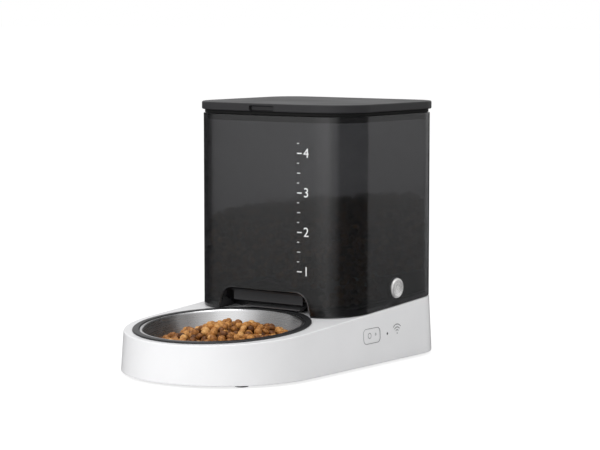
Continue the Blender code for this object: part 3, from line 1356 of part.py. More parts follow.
def build_outlet(build, dark, gloss):
    """Hood, ramp, flap and baffle of the food outlet."""
    bm = bmesh.new()
    verts = add_prism(bm, arch_outline(HOOD_WALL, HOOD_LIFT), TANK_FRONT_Y, HOOD_DEPTH_V)
    turn_points(bm, verts, X_TO_DEPTH)
    hood = build.part("outlet_hood", bm, gloss, build.deck)
    bm = bmesh.new()
    verts = add_prism(bm, arch_outline(0.0, -CUT_OVERRUN), TANK_FRONT_Y - CUT_OVERRUN, HOOD_INSIDE_V)
    turn_points(bm, verts, X_TO_DEPTH)
    boolean(hood, build.cutter(bm, build.deck))
    bm = bmesh.new()
    add_cylinder(
        bm,
        (0.0, ROTOR_V, -CUT_OVERRUN),
        (0.0, ROTOR_V, ARCH_HEIGHT + CUT_OVERRUN),
        ROTOR_RADIUS + 2 * ROTOR_CLEARANCE,
        2 * ROUND_STEPS,
    )
    boolean(hood, build.cutter(bm, build.deck))
    bm = bmesh.new()
    add_box(
        bm,
        (-WINDOW_HALF, HOOD_INSIDE_V - CUT_OVERRUN, -CUT_OVERRUN),
        (WINDOW_HALF, HOOD_DEPTH_V + CUT_OVERRUN, WINDOW_HEIGHT),
    )
    boolean(hood, build.cutter(bm, build.deck))
    bm = bmesh.new()
    add_prism(bm, tank_plan(TANK_WALL + FIT_GAP), 0.0, TANK_TOP)
    boolean(hood, build.cutter(bm), "INTERSECT")
    bm = bmesh.new()
    pin = FLAP_PIN_RADIUS + FIT_GAP
    reach = arch_half(FLAP_W) + HOOD_WALL
    add_cylinder(bm, (-reach, FLAP_V, FLAP_W), (reach, FLAP_V, FLAP_W), pin, SMALL_ROUND_STEPS)
    boolean(hood, build.cutter(bm, build.deck))

    heel = HOOD_DEPTH_V - FIT_GAP
    profile = [
        (RAMP_LIP_V, RAMP_LIP_W - RAMP_SHEET),
        (RAMP_KNEE_V, RAMP_KNEE_W),
        (heel, RAMP_HEEL_W),
        (heel, RAMP_TOP_W),
        (HOOD_INSIDE_V, RAMP_TOP_W),
        (RAMP_LIP_V, RAMP_LIP_W),
    ]
    bm = bmesh.new()
    half = WINDOW_HALF - FIT_GAP
    verts = add_prism(bm, profile, -half, half)
    turn_points(bm, verts, Matrix(((0, 0, 1, 0), (1, 0, 0, 0), (0, 1, 0, 0), (0, 0, 0, 1))))
    build.part("outlet_ramp", bm, gloss, build.deck)

    hinge = build.empty("flap_axis", (0.0, FLAP_V, FLAP_W), build.deck)
    bm = bmesh.new()
    lean = FLAP_HEIGHT * FLAP_LEAN_SHARE
    face = FLAP_THICKNESS / 2
    profile = [(-face, 0.0), (face, 0.0), (lean + face, -FLAP_HEIGHT), (lean - face, -FLAP_HEIGHT)]
    verts = add_prism(bm, profile, -FLAP_HALF, FLAP_HALF)
    turn_points(bm, verts, Matrix(((0, 0, 1, 0), (1, 0, 0, 0), (0, 1, 0, 0), (0, 0, 0, 1))))
    flap = build.part("outlet_flap", bm, gloss, hinge)
    bm = bmesh.new()
    reach = arch_half(FLAP_W) + HOOD_WALL / 2
    add_cylinder(bm, (-reach, 0.0, 0.0), (reach, 0.0, 0.0), FLAP_PIN_RADIUS, SMALL_ROUND_STEPS)
    boolean(flap, build.cutter(bm, hinge), "UNION")

    bm = bmesh.new()
    foot = ARCH_HEIGHT + HOOD_WALL + FIT_GAP
    slope_share = BAFFLE_RISE / BAFFLE_HALF
    drop = BAFFLE_SHEET * math.hypot(1.0, slope_share)
    toe = BAFFLE_SHEET / slope_share
    profile = [
        (-BAFFLE_HALF, foot),
        (-BAFFLE_HALF + toe, foot),
        (0.0, foot + BAFFLE_RISE + BAFFLE_SHEET - drop),
        (BAFFLE_HALF - toe, foot),
        (BAFFLE_HALF, foot),
        (BAFFLE_HALF, foot + BAFFLE_SHEET),
        (0.0, foot + BAFFLE_RISE + BAFFLE_SHEET),
        (-BAFFLE_HALF, foot + BAFFLE_SHEET),
    ]
    verts = add_prism(bm, profile, BAFFLE_FRONT_V, BAFFLE_BACK_V)
    turn_points(bm, verts, X_TO_DEPTH)
    build.part("outlet_baffle", bm, dark, build.deck)


def build_rotor(build, soft, dark, plastic):
    """Metering rotor: hub, soft paddle wheel, stirrer and the socket that takes the drive."""
    axis = build.empty("rotor_axis", (0.0, ROTOR_V, 0.0), build.deck)
    profile = [
        (0.0, HUB_HIGH_W),
        (HUB_RADIUS, HUB_HIGH_W),
        (HUB_RADIUS, ROTOR_LOW_W),
        (HUB_STUB_RADIUS, ROTOR_LOW_W),
        (HUB_STUB_RADIUS, HUB_STUB_LOW_W),
        (0.0, HUB_STUB_LOW_W),
    ]
    build.turned("rotor_hub", profile, dark, axis)

    bm = bmesh.new()
    sleeve = HUB_RADIUS + FIT_GAP + ROTOR_SLEEVE_WALL
    outline = []
    step = 2 * math.pi / ROTOR_PADDLES
    stations = SMALL_CORNER_STEPS
    for paddle in range(ROTOR_PADDLES):
        middle = step * (paddle + 0.5)
        back, front = [], []
        for i in range(stations + 1):
            share = i / stations
            radius = sleeve + (ROTOR_RADIUS - sleeve) * share
            sweep = ROTOR_PADDLE_SWEEP_SHARE * share * share
            half = ROTOR_PADDLE_THICKNESS / (2 * radius)
            back.append((radius, middle - half + sweep))
            front.append((radius, middle + half + sweep))
        outline += [(r * math.cos(a), r * math.sin(a)) for r, a in back + front[::-1]]
        rest = step - ROTOR_PADDLE_THICKNESS / sleeve
        start = middle + ROTOR_PADDLE_THICKNESS / (2 * sleeve)
        outline += arc((0.0, 0.0), sleeve, start, start + rest, stations)[1:-1]
    add_prism(bm, outline, ROTOR_LOW_W, ROTOR_HIGH_W)
    wheel = build.part("rotor_paddles", bm, soft, axis)
    bm = bmesh.new()
    add_cylinder(
        bm,
        (0.0, 0.0, ROTOR_LOW_W - CUT_OVERRUN),
        (0.0, 0.0, ROTOR_HIGH_W + CUT_OVERRUN),
        HUB_RADIUS + FIT_GAP,
    )
    boolean(wheel, build.cutter(bm, axis))

    base = HUB_HIGH_W + FIT_GAP
    dome = arc((0.0, base), HUB_RADIUS, math.pi / 2, 0.0, BOWL_CORNER_STEPS)
    stretch = STIRRER_HEIGHT / HUB_RADIUS
    profile = [(0.0 if i == 0 else r, base + (h - base) * stretch) for i, (r, h) in enumerate(dome)]
    stirrer = build.turned("rotor_stirrer", profile + [(0.0, base)], plastic, axis)
    bm = bmesh.new()
    add_cylinder(
        bm,
        (-STIRRER_ARM_REACH, 0.0, STIRRER_ARM_W),
        (STIRRER_ARM_REACH, 0.0, STIRRER_ARM_W),
        STIRRER_ARM_RADIUS,
        SMALL_ROUND_STEPS,
    )
    boolean(stirrer, build.cutter(bm, axis), "UNION")

    profile = [
        (0.0, SOCKET_HIGH_W),
        (SOCKET_RADIUS, SOCKET_HIGH_W),
        (SOCKET_RADIUS, SOCKET_LOW_W),
        (0.0, SOCKET_LOW_W),
    ]
    socket = build.turned("rotor_socket", profile, dark, axis)
    bm = bmesh.new()
    add_cylinder(
        bm,
        (0.0, 0.0, SOCKET_LOW_W - CUT_OVERRUN),
        (0.0, 0.0, SOCKET_HIGH_W - SOCKET_ROOF),
        DOG_RADIUS + DOG_PLAY,
        DOG_SIDES,
    )
    boolean(socket, build.cutter(bm, axis))


def build_release(build, silver, dark, steel):
    """Release buttons, their latch arms, springs and housings on both sides of the tank."""
    inner_wall = TANK_WIDTH / 2 - TANK_WALL
    for name, side in mirror_sides():
        face = TANK_WIDTH / 2 + RELEASE_PROUD
        axis = build.empty(f"release_{name}_axis", (0.0, RELEASE_Y, RELEASE_Z))
        flange_outer = inner_wall - RELEASE_PLAY
        flange_inner = flange_outer - RELEASE_FLANGE_THICKNESS
        profile = [
            (0.0, face),
            (RELEASE_RADIUS - RELEASE_EDGE, face),
            (RELEASE_RADIUS, face - RELEASE_EDGE),
            (RELEASE_RADIUS, flange_outer),
            (RELEASE_FLANGE_RADIUS, flange_outer),
            (RELEASE_FLANGE_RADIUS, flange_inner),
            (0.0, flange_inner),
        ]
        turned = build.turned(f"release_button_{name}", profile, silver, axis)
        turned.rotation_euler = (0.0, side * math.pi / 2, 0.0)

        arm_outer = flange_inner + LATCH_ARM_THICKNESS / 2
        arm_inner = arm_outer - LATCH_ARM_THICKNESS
        ends = sorted((side * arm_inner, side * arm_outer))
        bm = bmesh.new()
        add_box(
            bm,
            (ends[0], RELEASE_Y - LATCH_ARM_HALF, deck_height(RELEASE_Y, LATCH_NOSE_W)),
            (ends[1], RELEASE_Y + LATCH_ARM_HALF, RELEASE_Z - RELEASE_FLANGE_RADIUS - FIT_GAP),
        )
        build.part(f"release_latch_{name}", bm, dark)

        build_spring(build, f"release_spring_{name}", side, flange_inner, steel)
        build_latch_box(build, name, side, inner_wall, dark)


def build_spring(build, name, side, flange_inner, steel):
    """Coil spring between a release button and its housing."""
    start = TANK_WIDTH / 2 - TANK_WALL - LATCH_BOX_DEPTH + LATCH_BOX_FLOOR + FIT_GAP + SPRING_WIRE
    end = flange_inner - FIT_GAP - SPRING_WIRE
    count = SPRING_TURNS * SPRING_POINTS_PER_TURN + 1
    curve = bpy.data.curves.new(name, "CURVE")
    curve.dimensions = "3D"
    curve.bevel_depth = SPRING_WIRE
    curve.bevel_resolution = 1
    curve.use_fill_caps = True
    spline = curve.splines.new("POLY")
    spline.points.add(count - 1)
    for i in range(count):
        share = i / (count - 1)
        angle = 2 * math.pi * SPRING_TURNS * share
        x = side * (start + (end - start) * share)
        y = RELEASE_Y + SPRING_RADIUS * math.cos(angle)
        z = RELEASE_Z + SPRING_RADIUS * math.sin(angle)
        spline.points[i].co = (x, y, z, 1.0)
    spring = bpy.data.objects.new(name, curve)
    curve.materials.append(steel)
    build.parts.objects.link(spring)


def build_latch_box(build, name, side, inner_wall, dark):
    """Closed housing that keeps food off the release spring."""
    outer = inner_wall - FIT_GAP
    inner = inner_wall - LATCH_BOX_DEPTH
    outline = rounded_rectangle(
        outer - inner,
        LATCH_BOX_BACK_Y - LATCH_BOX_FRONT_Y,
        LATCH_BOX_CORNER,
        centre=(side * (outer + inner) / 2, (LATCH_BOX_BACK_Y + LATCH_BOX_FRONT_Y) / 2),
    )
    bm = bmesh.new()
    add_prism(bm, outline, lambda x, y: deck_height(y, FLOOR_TOP_W + FIT_GAP), LATCH_BOX_TOP)
    box = build.part(f"latch_housing_{name}", bm, dark)
    bm = bmesh.new()
    add_prism(bm, tank_plan(TANK_WALL + FIT_GAP), 0.0, TANK_TOP)
    boolean(box, build.cutter(bm), "INTERSECT")
    bm = bmesh.new()
    add_cylinder(
        bm,
        (side * (inner + LATCH_BOX_FLOOR), RELEASE_Y, RELEASE_Z),
        (side * (outer + CUT_OVERRUN), RELEASE_Y, RELEASE_Z),
        RELEASE_FLANGE_RADIUS + LATCH_HOLE_PLAY,
    )
    boolean(box, build.cutter(bm))
    bm = bmesh.new()
    latch_slot(bm, side, deck_height(RELEASE_Y), RELEASE_Z, LATCH_SLOT_PLAY)
    boolean(box, build.cutter(bm))


def build_lid(build, black, seal, pale, beads):
    """Lid, its seal, and the desiccant box, pack and cover under it."""
    bm = bmesh.new()
    add_prism(bm, tank_plan(-LID_OVERHANG), LID_UNDER, LID_TOP)
    lid = build.part("lid", bm, black)
    bevel(lid, LID_EDGE_RADIUS)
    plug_outer = TANK_WALL + LID_PLUG_CLEARANCE
    plug_inner = plug_outer + LID_PLUG_WALL
    bm = bmesh.new()
    add_prism(bm, tank_plan(plug_outer), LID_UNDER - LID_PLUG_DEPTH, LID_TOP - LID_ROOF)
    boolean(lid, build.cutter(bm), "UNION")
    bm = bmesh.new()
    add_prism(bm, tank_plan(plug_inner), LID_UNDER - LID_PLUG_DEPTH - CUT_OVERRUN, LID_TOP - LID_ROOF)
    boolean(lid, build.cutter(bm))
    bm = bmesh.new()
    front = TANK_FRONT_Y - LID_OVERHANG - TANK_FRONT_BULGE
    outline = rounded_rectangle(NOTCH_WIDTH, NOTCH_HEIGHT, NOTCH_RADIUS)
    verts = add_prism(bm, outline, -CUT_OVERRUN, NOTCH_DEPTH)
    place = Matrix.Translation((0.0, front, LID_UNDER + NOTCH_HEIGHT / 2 - NOTCH_RADIUS / 2))
    turn_points(bm, verts, place @ X_TO_DEPTH)
    boolean(lid, build.cutter(bm))

    bm = bmesh.new()
    add_prism(bm, tank_plan(GASKET_STEP), TANK_TOP + FIT_GAP, LID_UNDER - FIT_GAP)
    gasket = build.part("lid_gasket", bm, seal)
    bm = bmesh.new()
    add_prism(bm, tank_plan(plug_outer - FIT_GAP), TANK_TOP - CUT_OVERRUN, LID_UNDER + CUT_OVERRUN)
    boolean(gasket, build.cutter(bm))
    build_desiccant(build, pale, beads)


def build_desiccant(build, pale, beads):
    """Desiccant box under the lid's roof, its pack and its vented cover."""
    centre = (0.0, (TANK_FRONT_Y + TANK_BACK_Y) / 2)
    roof = LID_TOP - LID_ROOF - FIT_GAP
    low = roof - DRYER_DEPTH
    bm = bmesh.new()
    add_prism(bm, rounded_rectangle(DRYER_LENGTH, DRYER_WIDTH, DRYER_CORNER, centre=centre), low, roof)
    box = build.part("desiccant_box", bm, pale)
    bm = bmesh.new()
    wall = 2 * DRYER_WALL
    cavity = rounded_rectangle(
        DRYER_LENGTH - wall,
        DRYER_WIDTH - wall,
        DRYER_CORNER - DRYER_WALL,
        centre=centre,
    )
    add_prism(bm, cavity, low - CUT_OVERRUN, roof - DRYER_WALL)
    boolean(box, build.cutter(bm))

    cover_top = low + DRYER_COVER_THICKNESS
    gap = 2 * (DRYER_WALL + FIT_GAP)
    inner = rounded_rectangle(
        DRYER_LENGTH - gap,
        DRYER_WIDTH - gap,
        DRYER_CORNER - DRYER_WALL - FIT_GAP,
        centre=centre,
    )
    bm = bmesh.new()
    add_prism(bm, inner, cover_top + FIT_GAP, roof - DRYER_WALL - FIT_GAP)
    pack = build.part("desiccant_pack", bm, beads)
    bevel(pack, DRYER_WALL)

    bm = bmesh.new()
    add_prism(bm, inner, low, cover_top)
    cover = build.part("desiccant_cover", bm, pale)
    bm = bmesh.new()
    for row in range(DRYER_VENT_ROWS):
        for column in range(DRYER_VENT_COLUMNS):
            x = (column - (DRYER_VENT_COLUMNS - 1) / 2) * DRYER_VENT_PITCH
            y = centre[1] + (row - (DRYER_VENT_ROWS - 1) / 2) * DRYER_VENT_PITCH
            start = (x, y, low - CUT_OVERRUN)
            end = (x, y, cover_top + CUT_OVERRUN)
            add_cylinder(bm, start, end, DRYER_VENT_RADIUS, DRYER_VENT_STEPS)
    boolean(cover, build.cutter(bm))


def main():
    """Builds every piece of the feeder."""
    clear_scene()
    build = Builder()
    white = make_material("white_plastic", (0.86, 0.86, 0.87), 0.35)
    pale = make_material("pale_plastic", (0.62, 0.63, 0.64), 0.45)
    dark = make_material("dark_plastic", (0.035, 0.035, 0.038), 0.45)
    black = make_material("lid_plastic", (0.06, 0.06, 0.063), 0.38)
    gloss = make_material("gloss_dark_plastic", (0.03, 0.03, 0.032), 0.12)
    ring = make_material("ring_plastic", (0.05, 0.05, 0.055), 0.35)
    smoke = make_material("smoke_plastic", (0.10, 0.10, 0.11), 0.05, alpha=0.45)
    steel = make_material("stainless_steel", (0.62, 0.62, 0.63), 0.25, 1.0)
    silver = make_material("brushed_silver", (0.78, 0.78, 0.78), 0.30, 1.0)
    brass = make_material("brass", (0.72, 0.56, 0.25), 0.30, 1.0)
    gear = make_material("gear_plastic", (0.80, 0.79, 0.74), 0.40)
    rubber = make_material("rubber", (0.03, 0.03, 0.03), 0.80)
    seal = make_material("seal_rubber", (0.015, 0.015, 0.016), 0.70)
    soft = make_material("soft_silicone", (0.36, 0.37, 0.38), 0.60)
    board = make_material("circuit_board", (0.02, 0.16, 0.07), 0.45)
    lamp = make_material("lamp_lens", (0.10, 0.10, 0.11), 0.20)
    cell = make_material("cell_metal", (0.42, 0.44, 0.46), 0.30, 1.0)
    beads = make_material("desiccant", (0.80, 0.80, 0.78), 0.80)

    build_base_shell(build, white)
    build_base_bottom(build, white)
    build_fasteners_and_feet(build, steel, rubber)
    build_bowl(build, steel, ring)
    build_drive(build, gear, steel, brass, dark)
    build_electronics(build, white, board, steel, dark, lamp)
    build_batteries(build, dark, white, cell)
    build_tank_shell(build, smoke)
    build_hopper_floor(build, dark)
    build_outlet(build, dark, gloss)
    build_rotor(build, soft, dark, dark)
    build_release(build, silver, dark, steel)
    build_lid(build, black, seal, pale, beads)


main()
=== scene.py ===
"""Finish for the smart pet feeder: fine pieces, materials, food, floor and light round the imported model.

The base and the tank stand on a sloping deck. Pieces that belong to it are modelled in a deck frame,
with x across, v up the slope and w square to it, and are then turned into place. Units are metres.
"""

import json
import math
import random

import bmesh
import bpy
from bpy.props import FloatProperty, FloatVectorProperty, IntProperty, PointerProperty
from mathutils import Matrix, Vector, noise
from mathutils.bvhtree import BVHTree


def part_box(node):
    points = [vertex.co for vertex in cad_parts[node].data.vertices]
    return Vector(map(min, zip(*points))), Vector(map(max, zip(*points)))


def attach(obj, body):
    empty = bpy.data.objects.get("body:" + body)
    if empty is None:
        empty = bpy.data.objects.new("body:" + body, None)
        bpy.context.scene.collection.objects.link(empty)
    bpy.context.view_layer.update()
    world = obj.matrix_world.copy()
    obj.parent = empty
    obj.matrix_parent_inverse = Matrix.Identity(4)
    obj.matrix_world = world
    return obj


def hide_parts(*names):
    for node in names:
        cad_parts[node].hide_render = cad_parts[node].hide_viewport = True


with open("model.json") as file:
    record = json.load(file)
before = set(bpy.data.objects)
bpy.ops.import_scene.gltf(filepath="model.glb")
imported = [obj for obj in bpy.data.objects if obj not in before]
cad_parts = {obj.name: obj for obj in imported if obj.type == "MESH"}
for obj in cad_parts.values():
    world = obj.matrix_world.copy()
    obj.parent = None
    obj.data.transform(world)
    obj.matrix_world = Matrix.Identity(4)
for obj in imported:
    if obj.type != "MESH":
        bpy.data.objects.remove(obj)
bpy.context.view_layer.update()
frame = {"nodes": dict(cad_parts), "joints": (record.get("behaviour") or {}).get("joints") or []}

bl_info = {
    "name": "Pet Feeder Finish",
    "version": (1, 0, 0),
    "blender": (4, 5, 0),
    "location": "View3D > Sidebar > Feeder",
    "description": "Builds the finished look of a smart pet feeder round its packed CAD model",
    "category": "Add Mesh",
}

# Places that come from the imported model
BASE_LOW, BASE_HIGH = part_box("base_shell")
TANK_LOW, TANK_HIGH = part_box("tank_shell")
LID_LOW, LID_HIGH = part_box("lid")
KNOB_LOW, KNOB_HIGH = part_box("release_button_right")
JOINTS = {joint["name"]: joint for joint in frame["joints"]}
DECK_TILT = math.atan2(-JOINTS["tank_lift"]["axis"][1], JOINTS["tank_lift"]["axis"][2])
ROTOR_AXIS = Vector(JOINTS["rotor_turn"]["pos_m"])
DECK_LEVEL = ROTOR_AXIS.z - ROTOR_AXIS.y * math.tan(DECK_TILT)
DECK = Matrix.Translation((0.0, 0.0, DECK_LEVEL)) @ Matrix.Rotation(DECK_TILT, 4, "X")
SIDES = (("right", 1), ("left", -1))
UP = Vector((0.0, 0.0, 1.0))
TO_DEPTH = Matrix(((1, 0, 0, 0), (0, 0, 1, 0), (0, 1, 0, 0), (0, 0, 0, 1)))

# Sizes that more than one piece uses
WELD = 1e-6
CAD_WELD = 2e-6
PRINT_LIFT = 0.00006
SPRING_WIRE = 0.0004
BOWL_CORNER = 0.014
BOWL_FLOOR_RADIUS = 0.050

# Places on the base's right side, as y and z, and sizes of what is there
BUTTON_PLACE = (0.0354, 0.0293)
BUTTON_SIZE = (0.0137, 0.0265)
BUTTON_CORNER = 0.0043
BUTTON_SEAM = 0.0024
WIRELESS_PLACE = (0.0764, 0.0270)

# Release knob and the hole for it in the tank
KNOB_RADIUS = 0.0093
KNOB_EDGE = 0.0016
KNOB_FLANGE = 0.0018
KNOB_HOLE = 0.0096
KNOB_TRAVEL_ROOM = 0.0004

# Camera and lamps
CAMERA_PLACE = (1.2148, -1.5867, 0.3250)
CAMERA_AIM = (0.0009, 0.0501, 0.1245)
CAMERA_LENS = 130.61
CAMERA_SENSOR = 36.0
LAMP_AIM = (0.0, 0.0, 0.1)
KEY_LIGHT = ((-0.42, -2.22, 1.2), 1.5, 21.0)
TOP_LIGHT = ((0.25, -0.45, 2.35), 1.6, 18.0)

# Brightness of the studio in reflections, once round the horizon. A stop is a place and a value.
# Places run from the back (0) over the left (0.25), the front (0.5) and the right (0.75).
LOW_RING = (
    (0.0, 0.04),
    (0.10, 0.02),
    (0.28, 0.03),
    (0.35, 0.75),
    (0.40, 1.18),
    (0.44, 1.38),
    (0.49, 1.8),
    (0.545, 2.0),
    (0.60, 1.05),
    (0.65, 0.12),
    (0.872, 0.03),
    (0.89, 0.62),
    (0.97, 0.60),
)
HIGH_RING = (
    (0.0, 0.60),
    (0.16, 0.60),
    (0.24, 0.30),
    (0.33, 0.24),
    (0.42, 0.30),
    (0.48, 0.70),
    (0.53, 1.0),
    (0.60, 1.0),
    (0.67, 0.55),
    (0.76, 0.24),
    (0.87, 0.75),
    (0.97, 0.70),
)


class FeederSizes(bpy.types.PropertyGroup):
    """Sizes of the pieces that this file models."""

    tank_front_radius: FloatProperty(
        name="Tank front corner", description="Radius of the tank's front corners", default=0.040, unit="LENGTH"
    )
    tank_back_radius: FloatProperty(
        name="Tank back corner", description="Radius of the tank's back corners", default=0.028, unit="LENGTH"
    )
    tank_bow: FloatProperty(
        name="Tank bow", description="How far the tank's front bows out", default=0.0018, unit="LENGTH"
    )
    tank_wall: FloatProperty(
        name="Tank wall", description="Thickness of the clear wall", default=0.0026, unit="LENGTH"
    )
    arch_height: FloatProperty(
        name="Arch height", description="Height of the food outlet", default=0.022, unit="LENGTH"
    )
    arch_foot_half: FloatProperty(
        name="Arch foot", description="Half width of the outlet at the deck", default=0.0536, unit="LENGTH"
    )
    arch_shoulder_half: FloatProperty(
        name="Arch shoulder", description="Half width of the outlet at its shoulders", default=0.0505, unit="LENGTH"
    )
    arch_corner: FloatProperty(
        name="Arch corner", description="Radius of the outlet's shoulders", default=0.014, unit="LENGTH"
    )
    bowl_centre: FloatProperty(
        name="Bowl centre", description="Place of the bowl along the deck", default=-0.0668, unit="LENGTH"
    )
    bowl_mouth: FloatProperty(
        name="Bowl mouth", description="Radius of the bowl inside its rim", default=0.0716, unit="LENGTH"
    )
    bowl_depth: FloatProperty(
        name="Bowl depth", description="Depth of the bowl below the deck", default=0.030, unit="LENGTH"
    )
    ring_radius: FloatProperty(
        name="Ring radius", description="Outer radius of the ring round the bowl", default=0.081, unit="LENGTH"
    )
    lid_overhang: FloatProperty(
        name="Lid overhang", description="How far the lid stands out past the tank", default=0.0016, unit="LENGTH"
    )
    lid_edge: FloatProperty(
        name="Lid edge", description="Radius of the lid's upper and lower edges", default=0.0012, unit="LENGTH"
    )
    turn_steps: IntProperty(
        name="Turn steps", description="Segments round a turned piece", default=128, min=24, max=256
    )


class FeederColours(bpy.types.PropertyGroup):
    """Colours of the finishes."""

    housing: FloatVectorProperty(
        name="Housing", description="White plastic of the base", default=(0.87, 0.87, 0.88), subtype="COLOR"
    )
    smoke: FloatVectorProperty(
        name="Smoke", description="Tint of one tank wall", default=(0.17, 0.17, 0.176), subtype="COLOR"
    )
    lid: FloatVectorProperty(
        name="Lid", description="Plastic of the lid", default=(0.036, 0.0355, 0.0375), subtype="COLOR"
    )
    dark: FloatVectorProperty(
        name="Dark plastic", description="Plastic of the inner pieces", default=(0.022, 0.022, 0.024), subtype="COLOR"
    )
    steel: FloatVectorProperty(
        name="Steel", description="Stainless steel of the bowl", default=(0.78, 0.78, 0.79), subtype="COLOR"
    )
    silver: FloatVectorProperty(
        name="Silver", description="Brushed face of the release knobs", default=(0.93, 0.92, 0.91), subtype="COLOR"
    )


class FeederFood(bpy.types.PropertyGroup):
    """The dry food in the bowl and in the tank."""

    pellet: FloatProperty(
        name="Pellet", description="Radius of a food pellet", default=0.0040, unit="LENGTH"
    )
    seed: IntProperty(name="Seed", description="Start of the random placing", default=7, min=0)
    bowl_count: IntProperty(
        name="Bowl pellets", description="Most pellets in the bowl", default=900, min=10
    )
    tank_count: IntProperty(
        name="Tank pellets", description="Most pellets in the tank", default=3400, min=10
    )


def sizes():
    """The scene's sizes."""
    return bpy.context.scene.feeder_sizes


def colours():
    """The scene's colours."""
    return bpy.context.scene.feeder_colours


# Mesh tools


def draw_line(bm, start, runs, closed=True):
    """Draws a line of straight runs and turns from a first point. Returns its vertices and edges."""
    verts = [bm.verts.new(start)]
    for run in runs:
        if run[0] == "to":
            made = bmesh.ops.extrude_vert_indiv(bm, verts=[verts[-1]])
            made["verts"][0].co = run[1]
            verts.append(made["verts"][0])
            continue
        _, centre, degrees, steps, axis = run
        known = set(bm.verts)
        made = bmesh.ops.spin(
            bm,
            geom=[verts[-1]],
            cent=centre,
            axis=axis,
            angle=math.radians(degrees),
            steps=steps,
        )
        fresh = [vert for vert in bm.verts if vert not in known]
        last = [item for item in made["geom_last"] if isinstance(item, bmesh.types.BMVert)][0]
        fresh.remove(last)
        verts += fresh + [last]
    if closed:
        gap = (verts[-1].co - verts[0].co).length
        if gap < WELD:
            bmesh.ops.weld_verts(bm, targetmap={verts[-1]: verts[0]})
            verts.pop()
        else:
            bm.edges.new((verts[-1], verts[0]))
    own = set(verts)
    edges = [edge for edge in bm.edges if own.issuperset(edge.verts)]
    return verts, edges


def tank_line(inset, height=0.0):
    """First point and runs of the tank's outline, seen from above, moved in by an inset."""
    part = sizes()
    half = TANK_HIGH.x - inset
    front = part.tank_front_radius
    rear = part.tank_back_radius
    flat = TANK_HIGH.x - front
    nose = TANK_LOW.y
    level = nose + part.tank_bow + front
    bow = ((flat * flat + (level - nose) ** 2 - front * front) / (level - nose - front)) / 2
    swing = math.degrees(math.asin(flat / (bow - front)))
    back = TANK_HIGH.y
    z = height
    runs = [
        ("turn", (-flat, level, z), 90 - swing, 20, UP),
        ("turn", (0.0, nose + bow, z), 2 * swing, 24, UP),
        ("turn", (flat, level, z), 90 - swing, 20, UP),
        ("to", (half, back - rear, z)),
        ("turn", (half + inset - rear, back - rear, z), 90, 14, UP),
        ("to", (rear - half - inset, back - inset, z)),
        ("turn", (rear - half - inset, back - rear, z), 90, 14, UP),
    ]
    return (-half, level, z), runs


def arch_line(grow, low):
    """First point and runs of the outlet arch in x and w, grown outwards."""
    part = sizes()
    radius = part.arch_corner + grow
    shoulder = part.arch_shoulder_half - part.arch_corner
    height = part.arch_height - part.arch_corner
    spread = (part.arch_foot_half - part.arch_shoulder_half) / height
    foot = part.arch_foot_half + grow - low * spread
    runs = [
        ("to", (-shoulder - radius, height, 0.0)),
        ("turn", (-shoulder, height, 0.0), -90, 14, UP),
        ("to", (shoulder, height + radius, 0.0)),
        ("turn", (shoulder, height, 0.0), -90, 14, UP),
        ("to", (foot, low, 0.0)),
    ]
    return (-foot, low, 0.0), runs


def rounded_line(length, width, radius, steps=6, centre=(0.0, 0.0)):
    """First point and runs of a rectangle with round corners."""
    x, y = length / 2 - radius, width / 2 - radius
    cx, cy = centre
    runs = []
    for sign_x, sign_y, to in ((-1, -1, (x, -1)), (1, -1, (1, y)), (1, 1, (-x, 1)), (-1, 1, None)):
        runs.append(("turn", (cx + sign_x * x, cy + sign_y * y, 0.0), 90, steps, UP))
        if sign_x == -1 and sign_y == -1:
            runs.append(("to", (cx + x, cy - width / 2, 0.0)))
        elif sign_y == -1:
            runs.append(("to", (cx + length / 2, cy + y, 0.0)))
        elif sign_x == 1:
            runs.append(("to", (cx - x, cy + width / 2, 0.0)))
    return (cx - length / 2, cy - y, 0.0), runs


def fill_and_raise(bm, line, height):
    """A solid prism over a closed outline."""
    start, runs = line
    _, edges = draw_line(bm, start, runs)
    face = bmesh.ops.contextual_create(bm, geom=edges)["faces"][0]
    grown = bmesh.ops.extrude_face_region(bm, geom=[face], use_keep_orig=True)
    verts = [item for item in grown["geom"] if isinstance(item, bmesh.types.BMVert)]
    bmesh.ops.translate(bm, verts=verts, vec=(0.0, 0.0, height))
    bmesh.ops.recalc_face_normals(bm, faces=bm.faces)
    return verts


def wire_mesh(name, points, radius, matrix, closed=False):
    """Round wire or bead along a line of points."""
    line = bpy.data.curves.new(name, "CURVE")
    line.dimensions = "3D"
    line.bevel_depth = radius
    line.bevel_resolution = 3
    line.use_fill_caps = True
    spline = line.splines.new("POLY")
    spline.points.add(len(points) - 1)
    spline.use_cyclic_u = closed
    for point, place in zip(spline.points, points):
        point.co = (*place, 1.0)
    item = bpy.data.objects.new(name, line)
    bpy.context.scene.collection.objects.link(item)
    graph = bpy.context.evaluated_depsgraph_get()
    mesh = bpy.data.meshes.new_from_object(item.evaluated_get(graph))
    bpy.data.objects.remove(item)
    bpy.data.curves.remove(line)
    bm = bmesh.new()
    bm.from_mesh(mesh)
    bpy.data.meshes.remove(mesh)
    bmesh.ops.remove_doubles(bm, verts=bm.verts, dist=WELD)
    bmesh.ops.recalc_face_normals(bm, faces=bm.faces)
    return bm_to_mesh(bm, name, matrix, 60)


def slope_to_deck(bm, verts):
    """Shears points at one level so that they follow the deck."""
    shear = Matrix(((1, 0, 0, 0), (0, 1, 0, 0), (0, math.tan(DECK_TILT), 1, 0), (0, 0, 0, 1)))
    bmesh.ops.transform(bm, matrix=shear, verts=verts)


